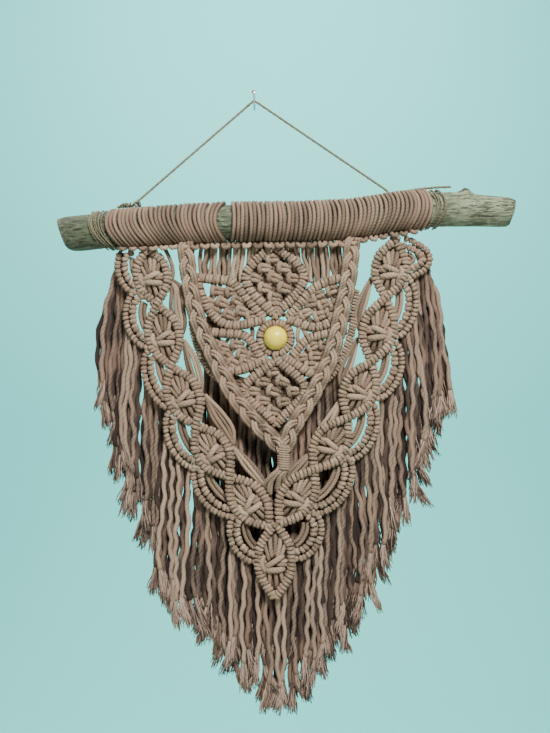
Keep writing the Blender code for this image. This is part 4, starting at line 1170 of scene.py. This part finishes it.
def add_strand(cords, tufts, root, tip, layer, depth, root_out, yarns=YARNS):
    """One strand and the tuft of yarns that its end is combed out into."""
    end = tip + Vector((0, TUFT * 0.8))
    points = strand_path(root, end, layer, depth, root_out)
    steps = max(8, round((root.y - end.y) / 4.0))
    path = off_the_wall(smooth_path(points, steps), STRAND / 2 + 0.2)
    # strands hanging further back, and in the back layers, are painted darker: painted shade by depth,
    # with a random tone of their own
    tone = max(-0.8, depth / 2.6 + (layer - 14) / 20 + chance.uniform(-0.3, 0.3))
    wobble = chance.random() * 6
    sizes = [STRAND / 2 * (0.93 + 0.08 * math.sin(wobble + 0.8 * k) + 0.05 * math.sin(2.3 * k))
             for k in range(steps + 1)]
    # painted shade where strands touch; the side to the wall keeps at least a plain tone
    cords.add(cord_shape(path, sizes, 6, tone, RIGHT, contact_shade=0.4, back=max(tone, 0.4)))
    down = (path[-1] - path[-4]).normalized()
    spread = chance.uniform(2.8, 5.2)
    lean = Vector((chance.uniform(-0.35, 0.35), chance.uniform(-0.1, 0.05), 0))
    whirl = chance.uniform(-1.0, 1.0)
    for k in range(yarns):
        angle = math.tau * k / yarns + chance.uniform(-0.2, 0.2)
        ray = Vector((math.cos(angle), 0.7 * math.sin(angle), 0)) * math.sqrt(chance.uniform(0.05, 1.0))
        turned = Vector((math.cos(angle + whirl), 0.7 * math.sin(angle + whirl), 0)) * ray.length
        reach = TUFT * chance.uniform(0.78, 1.08) * MM
        start = path[-2] + ray * 1.7 * MM
        curl = Vector((chance.uniform(-1.3, 1.3), chance.uniform(-0.8, 0.8), 0)) * MM
        line = [start, start + down * reach * 0.25 + ray * 0.8 * MM,
                start + (down * 0.5 + lean * 0.2) * reach + turned * spread * 0.5 * MM + curl,
                start + (down * 0.76 + lean * 0.45) * reach + turned * spread * 0.8 * MM - curl,
                start + (down * 0.98 + lean * 0.7) * reach + turned * spread * MM + curl * 0.6]
        line = off_the_wall(smooth_path(line, len(YARN_SIZES) - 1), 1.2)
        # each tuft takes part of its strand's painted shade
        tufts.add(cord_shape(line, YARN_SIZES, sides=3, tone=chance.uniform(-0.1, 1.0) + 0.3 * tone,
                             fray=1.0))


def spread_of_roots(line, strands):
    flat_line = [Vector((*point, 0)) for point in line]
    return [Vector(point[:2]) for point in smooth_path(flat_line, strands - 1)]


def keep_fringe(node, cords, tufts):
    keep(node + "_cords", cords.shape, fringe_cotton, "fringe_cotton", node)
    keep(node + "_tufts", tufts.shape, fringe_cotton, "fringe_cotton")


for name, start, end, bow, layer, strands, first_tip, last_tip in ARCS:
    cords, tufts = Gathered(), Gathered()
    line = arc_points(start, end, bow)[1:-1]
    for k, root in enumerate(spread_of_roots(line, strands)):
        share = k / (strands - 1)
        tip = Vector(first_tip).lerp(Vector(last_tip), share)
        tip += Vector((chance.uniform(-4, 4), 8 * math.sin(2.9 * k + start[0]) + chance.uniform(-6, 6)))
        add_strand(cords, tufts, root, tip, layer, ARC_DEPTHS[k % 3], ROOTS_OUT)
        # a strand between each two, further back and painted darkest: painted shade in the gaps
        if k:
            behind = Vector((chance.uniform(-3, 3), chance.uniform(10, 30)))
            add_strand(cords, tufts, root.lerp(before, 0.5), tip + behind, layer, ARC_BEHIND,
                       GARLAND_OUT - 5.0, FEW_YARNS)
        before = root
    keep_fringe(name, cords, tufts)

name, line, strands, first_tip, last_tip = POINT_FRINGE
cords, tufts = Gathered(), Gathered()
for k, root in enumerate(spread_of_roots(line, strands)):
    share = k / (strands - 1)
    tip = Vector(first_tip).lerp(Vector(last_tip), share)
    tip += Vector((chance.uniform(-2.5, 2.5), -22 * math.sin(math.pi * share) + chance.uniform(-5, 8)))
    add_strand(cords, tufts, root, tip, FRINGE_MIDDLE + 2, POINT_DEPTHS[k % 3], ROOTS_OUT)
keep_fringe(name, cords, tufts)

cords, tufts = Gathered(), Gathered()
for k, root in enumerate(spread_of_roots(PANEL_FRINGE, PANEL_STRANDS)):
    u = -80 + 165 * k / (PANEL_STRANDS - 1)
    tip = Vector((u * 0.94, -300 - 130 * math.cos((u - 3) / 130) + chance.uniform(-8, 8)))
    add_strand(cords, tufts, root, tip, FRINGE_BACK, PANEL_DEPTHS[k % 3], PANEL_ROOTS_OUT)
    # and one behind each, painted darker as shade in the gaps
    behind = Vector((1.9, chance.uniform(10, 30)))
    add_strand(cords, tufts, root + Vector((1.9, 0)), tip + behind, FRINGE_BACK, PANEL_BEHIND,
               PANEL_OUT - 8.0, FEW_YARNS)
keep_fringe("fringe_panel", cords, tufts)


# ==== the room: floor, light and camera ====
# A plain pale floor that sweeps up into a blue-green backdrop far behind. The key light is
# above on the right, with a weaker one on the left, a warm one behind, one for the
# backdrop, and the camera straight in front.
VIEW_X, VIEW_Z, VIEW_OUT = 0.0220, -0.2760, 1.124
VIEW_HEIGHT, WORK_OUT = 0.7697, 0.024
SENSOR_WIDTH = 36.0
FLOOR_Z, FLOOR_WIDTH, BACKDROP_Y, SWEEP = -1.5, 18, 3.4, 1.0
FLOOR_PALE, BACKDROP_TEAL = (0.62, 0.71, 0.70), (0.17, 0.75, 0.70)
ROOM_COLOUR, ROOM_STRENGTH = (0.70, 0.76, 0.76, 1), 0.16
WHITE, WARM = (1.0, 1.0, 1.0), (1.0, 0.8, 0.66)
WORK_MIDDLE = (0.02, 0.0, -0.3)
LIGHTS = [
    # name, place, aims at, size, watts, colour
    ("key_light", (0.45, -1.35, 0.95), WORK_MIDDLE, 0.4, 68.0, WHITE),
    ("fill_light", (-1.6, -1.8, -0.1), WORK_MIDDLE, 1.4, 7.0, WHITE),
    ("rear_light", (-1.3, 1.3, 0.9), WORK_MIDDLE, 1.0, 46.0, WARM),
    ("backdrop_light", (0.0, 1.2, 1.7), (0.0, 3.4, -0.8), 1.8, 145.0, WHITE),
]
sweep = [Vector((0, -5, FLOOR_Z)), Vector((0, BACKDROP_Y - SWEEP, FLOOR_Z))]
sweep += [Vector((0, BACKDROP_Y - SWEEP + SWEEP * math.sin(angle),
                  FLOOR_Z + SWEEP * (1 - math.cos(angle))))
          for angle in (math.pi / 2 * k / 12 for k in range(1, 13))]
sweep.append(Vector((0, BACKDROP_Y, 5)))
floor_shape = bmesh.new()
verts = [floor_shape.verts.new(point - RIGHT * FLOOR_WIDTH / 2) for point in sweep]
edges = [floor_shape.edges.new(pair) for pair in zip(verts, verts[1:])]
wide = bmesh.ops.extrude_edge_only(floor_shape, edges=edges)["geom"]
bmesh.ops.translate(floor_shape, verts=[each for each in wide if isinstance(each, bmesh.types.BMVert)],
                    vec=RIGHT * FLOOR_WIDTH)
bmesh.ops.recalc_face_normals(floor_shape, faces=floor_shape.faces)
floor = add_object("floor", as_mesh("floor", floor_shape))
floor.data.shade_smooth()
paint = Finish("floor_pale", Roughness=0.9)
place = paint.node("ShaderNodeTexCoord", output=3)
depth = paint.node("ShaderNodeSeparateXYZ", {}, {"Vector": place}, 1)
painted = paint.mix(paint.band(depth, 1.4, 2.4), FLOOR_PALE, BACKDROP_TEAL)
floor.data.materials.append(paint.show(painted))

for name, place, aim, size, watts, colour in LIGHTS:
    data = bpy.data.lights.new(name, "AREA")
    data.energy, data.size, data.color = watts, size, colour
    light = add_object(name, data)
    light.location = place
    light.rotation_euler = (Vector(aim) - Vector(place)).to_track_quat("-Z", "Y").to_euler()
world = bpy.data.worlds.new("studio")
world.use_nodes = True
background = world.node_tree.nodes["Background"]
background.inputs["Color"].default_value = ROOM_COLOUR
background.inputs["Strength"].default_value = ROOM_STRENGTH
bpy.context.scene.world = world

lens = bpy.data.cameras.new("camera")
lens.sensor_width = SENSOR_WIDTH
lens.lens = SENSOR_WIDTH * (VIEW_OUT - WORK_OUT) / VIEW_HEIGHT
camera = add_object("camera", lens)
camera.location = (VIEW_X, -VIEW_OUT, VIEW_Z)
camera.rotation_euler = (math.radians(90), 0, 0)
bpy.context.scene.camera = camera
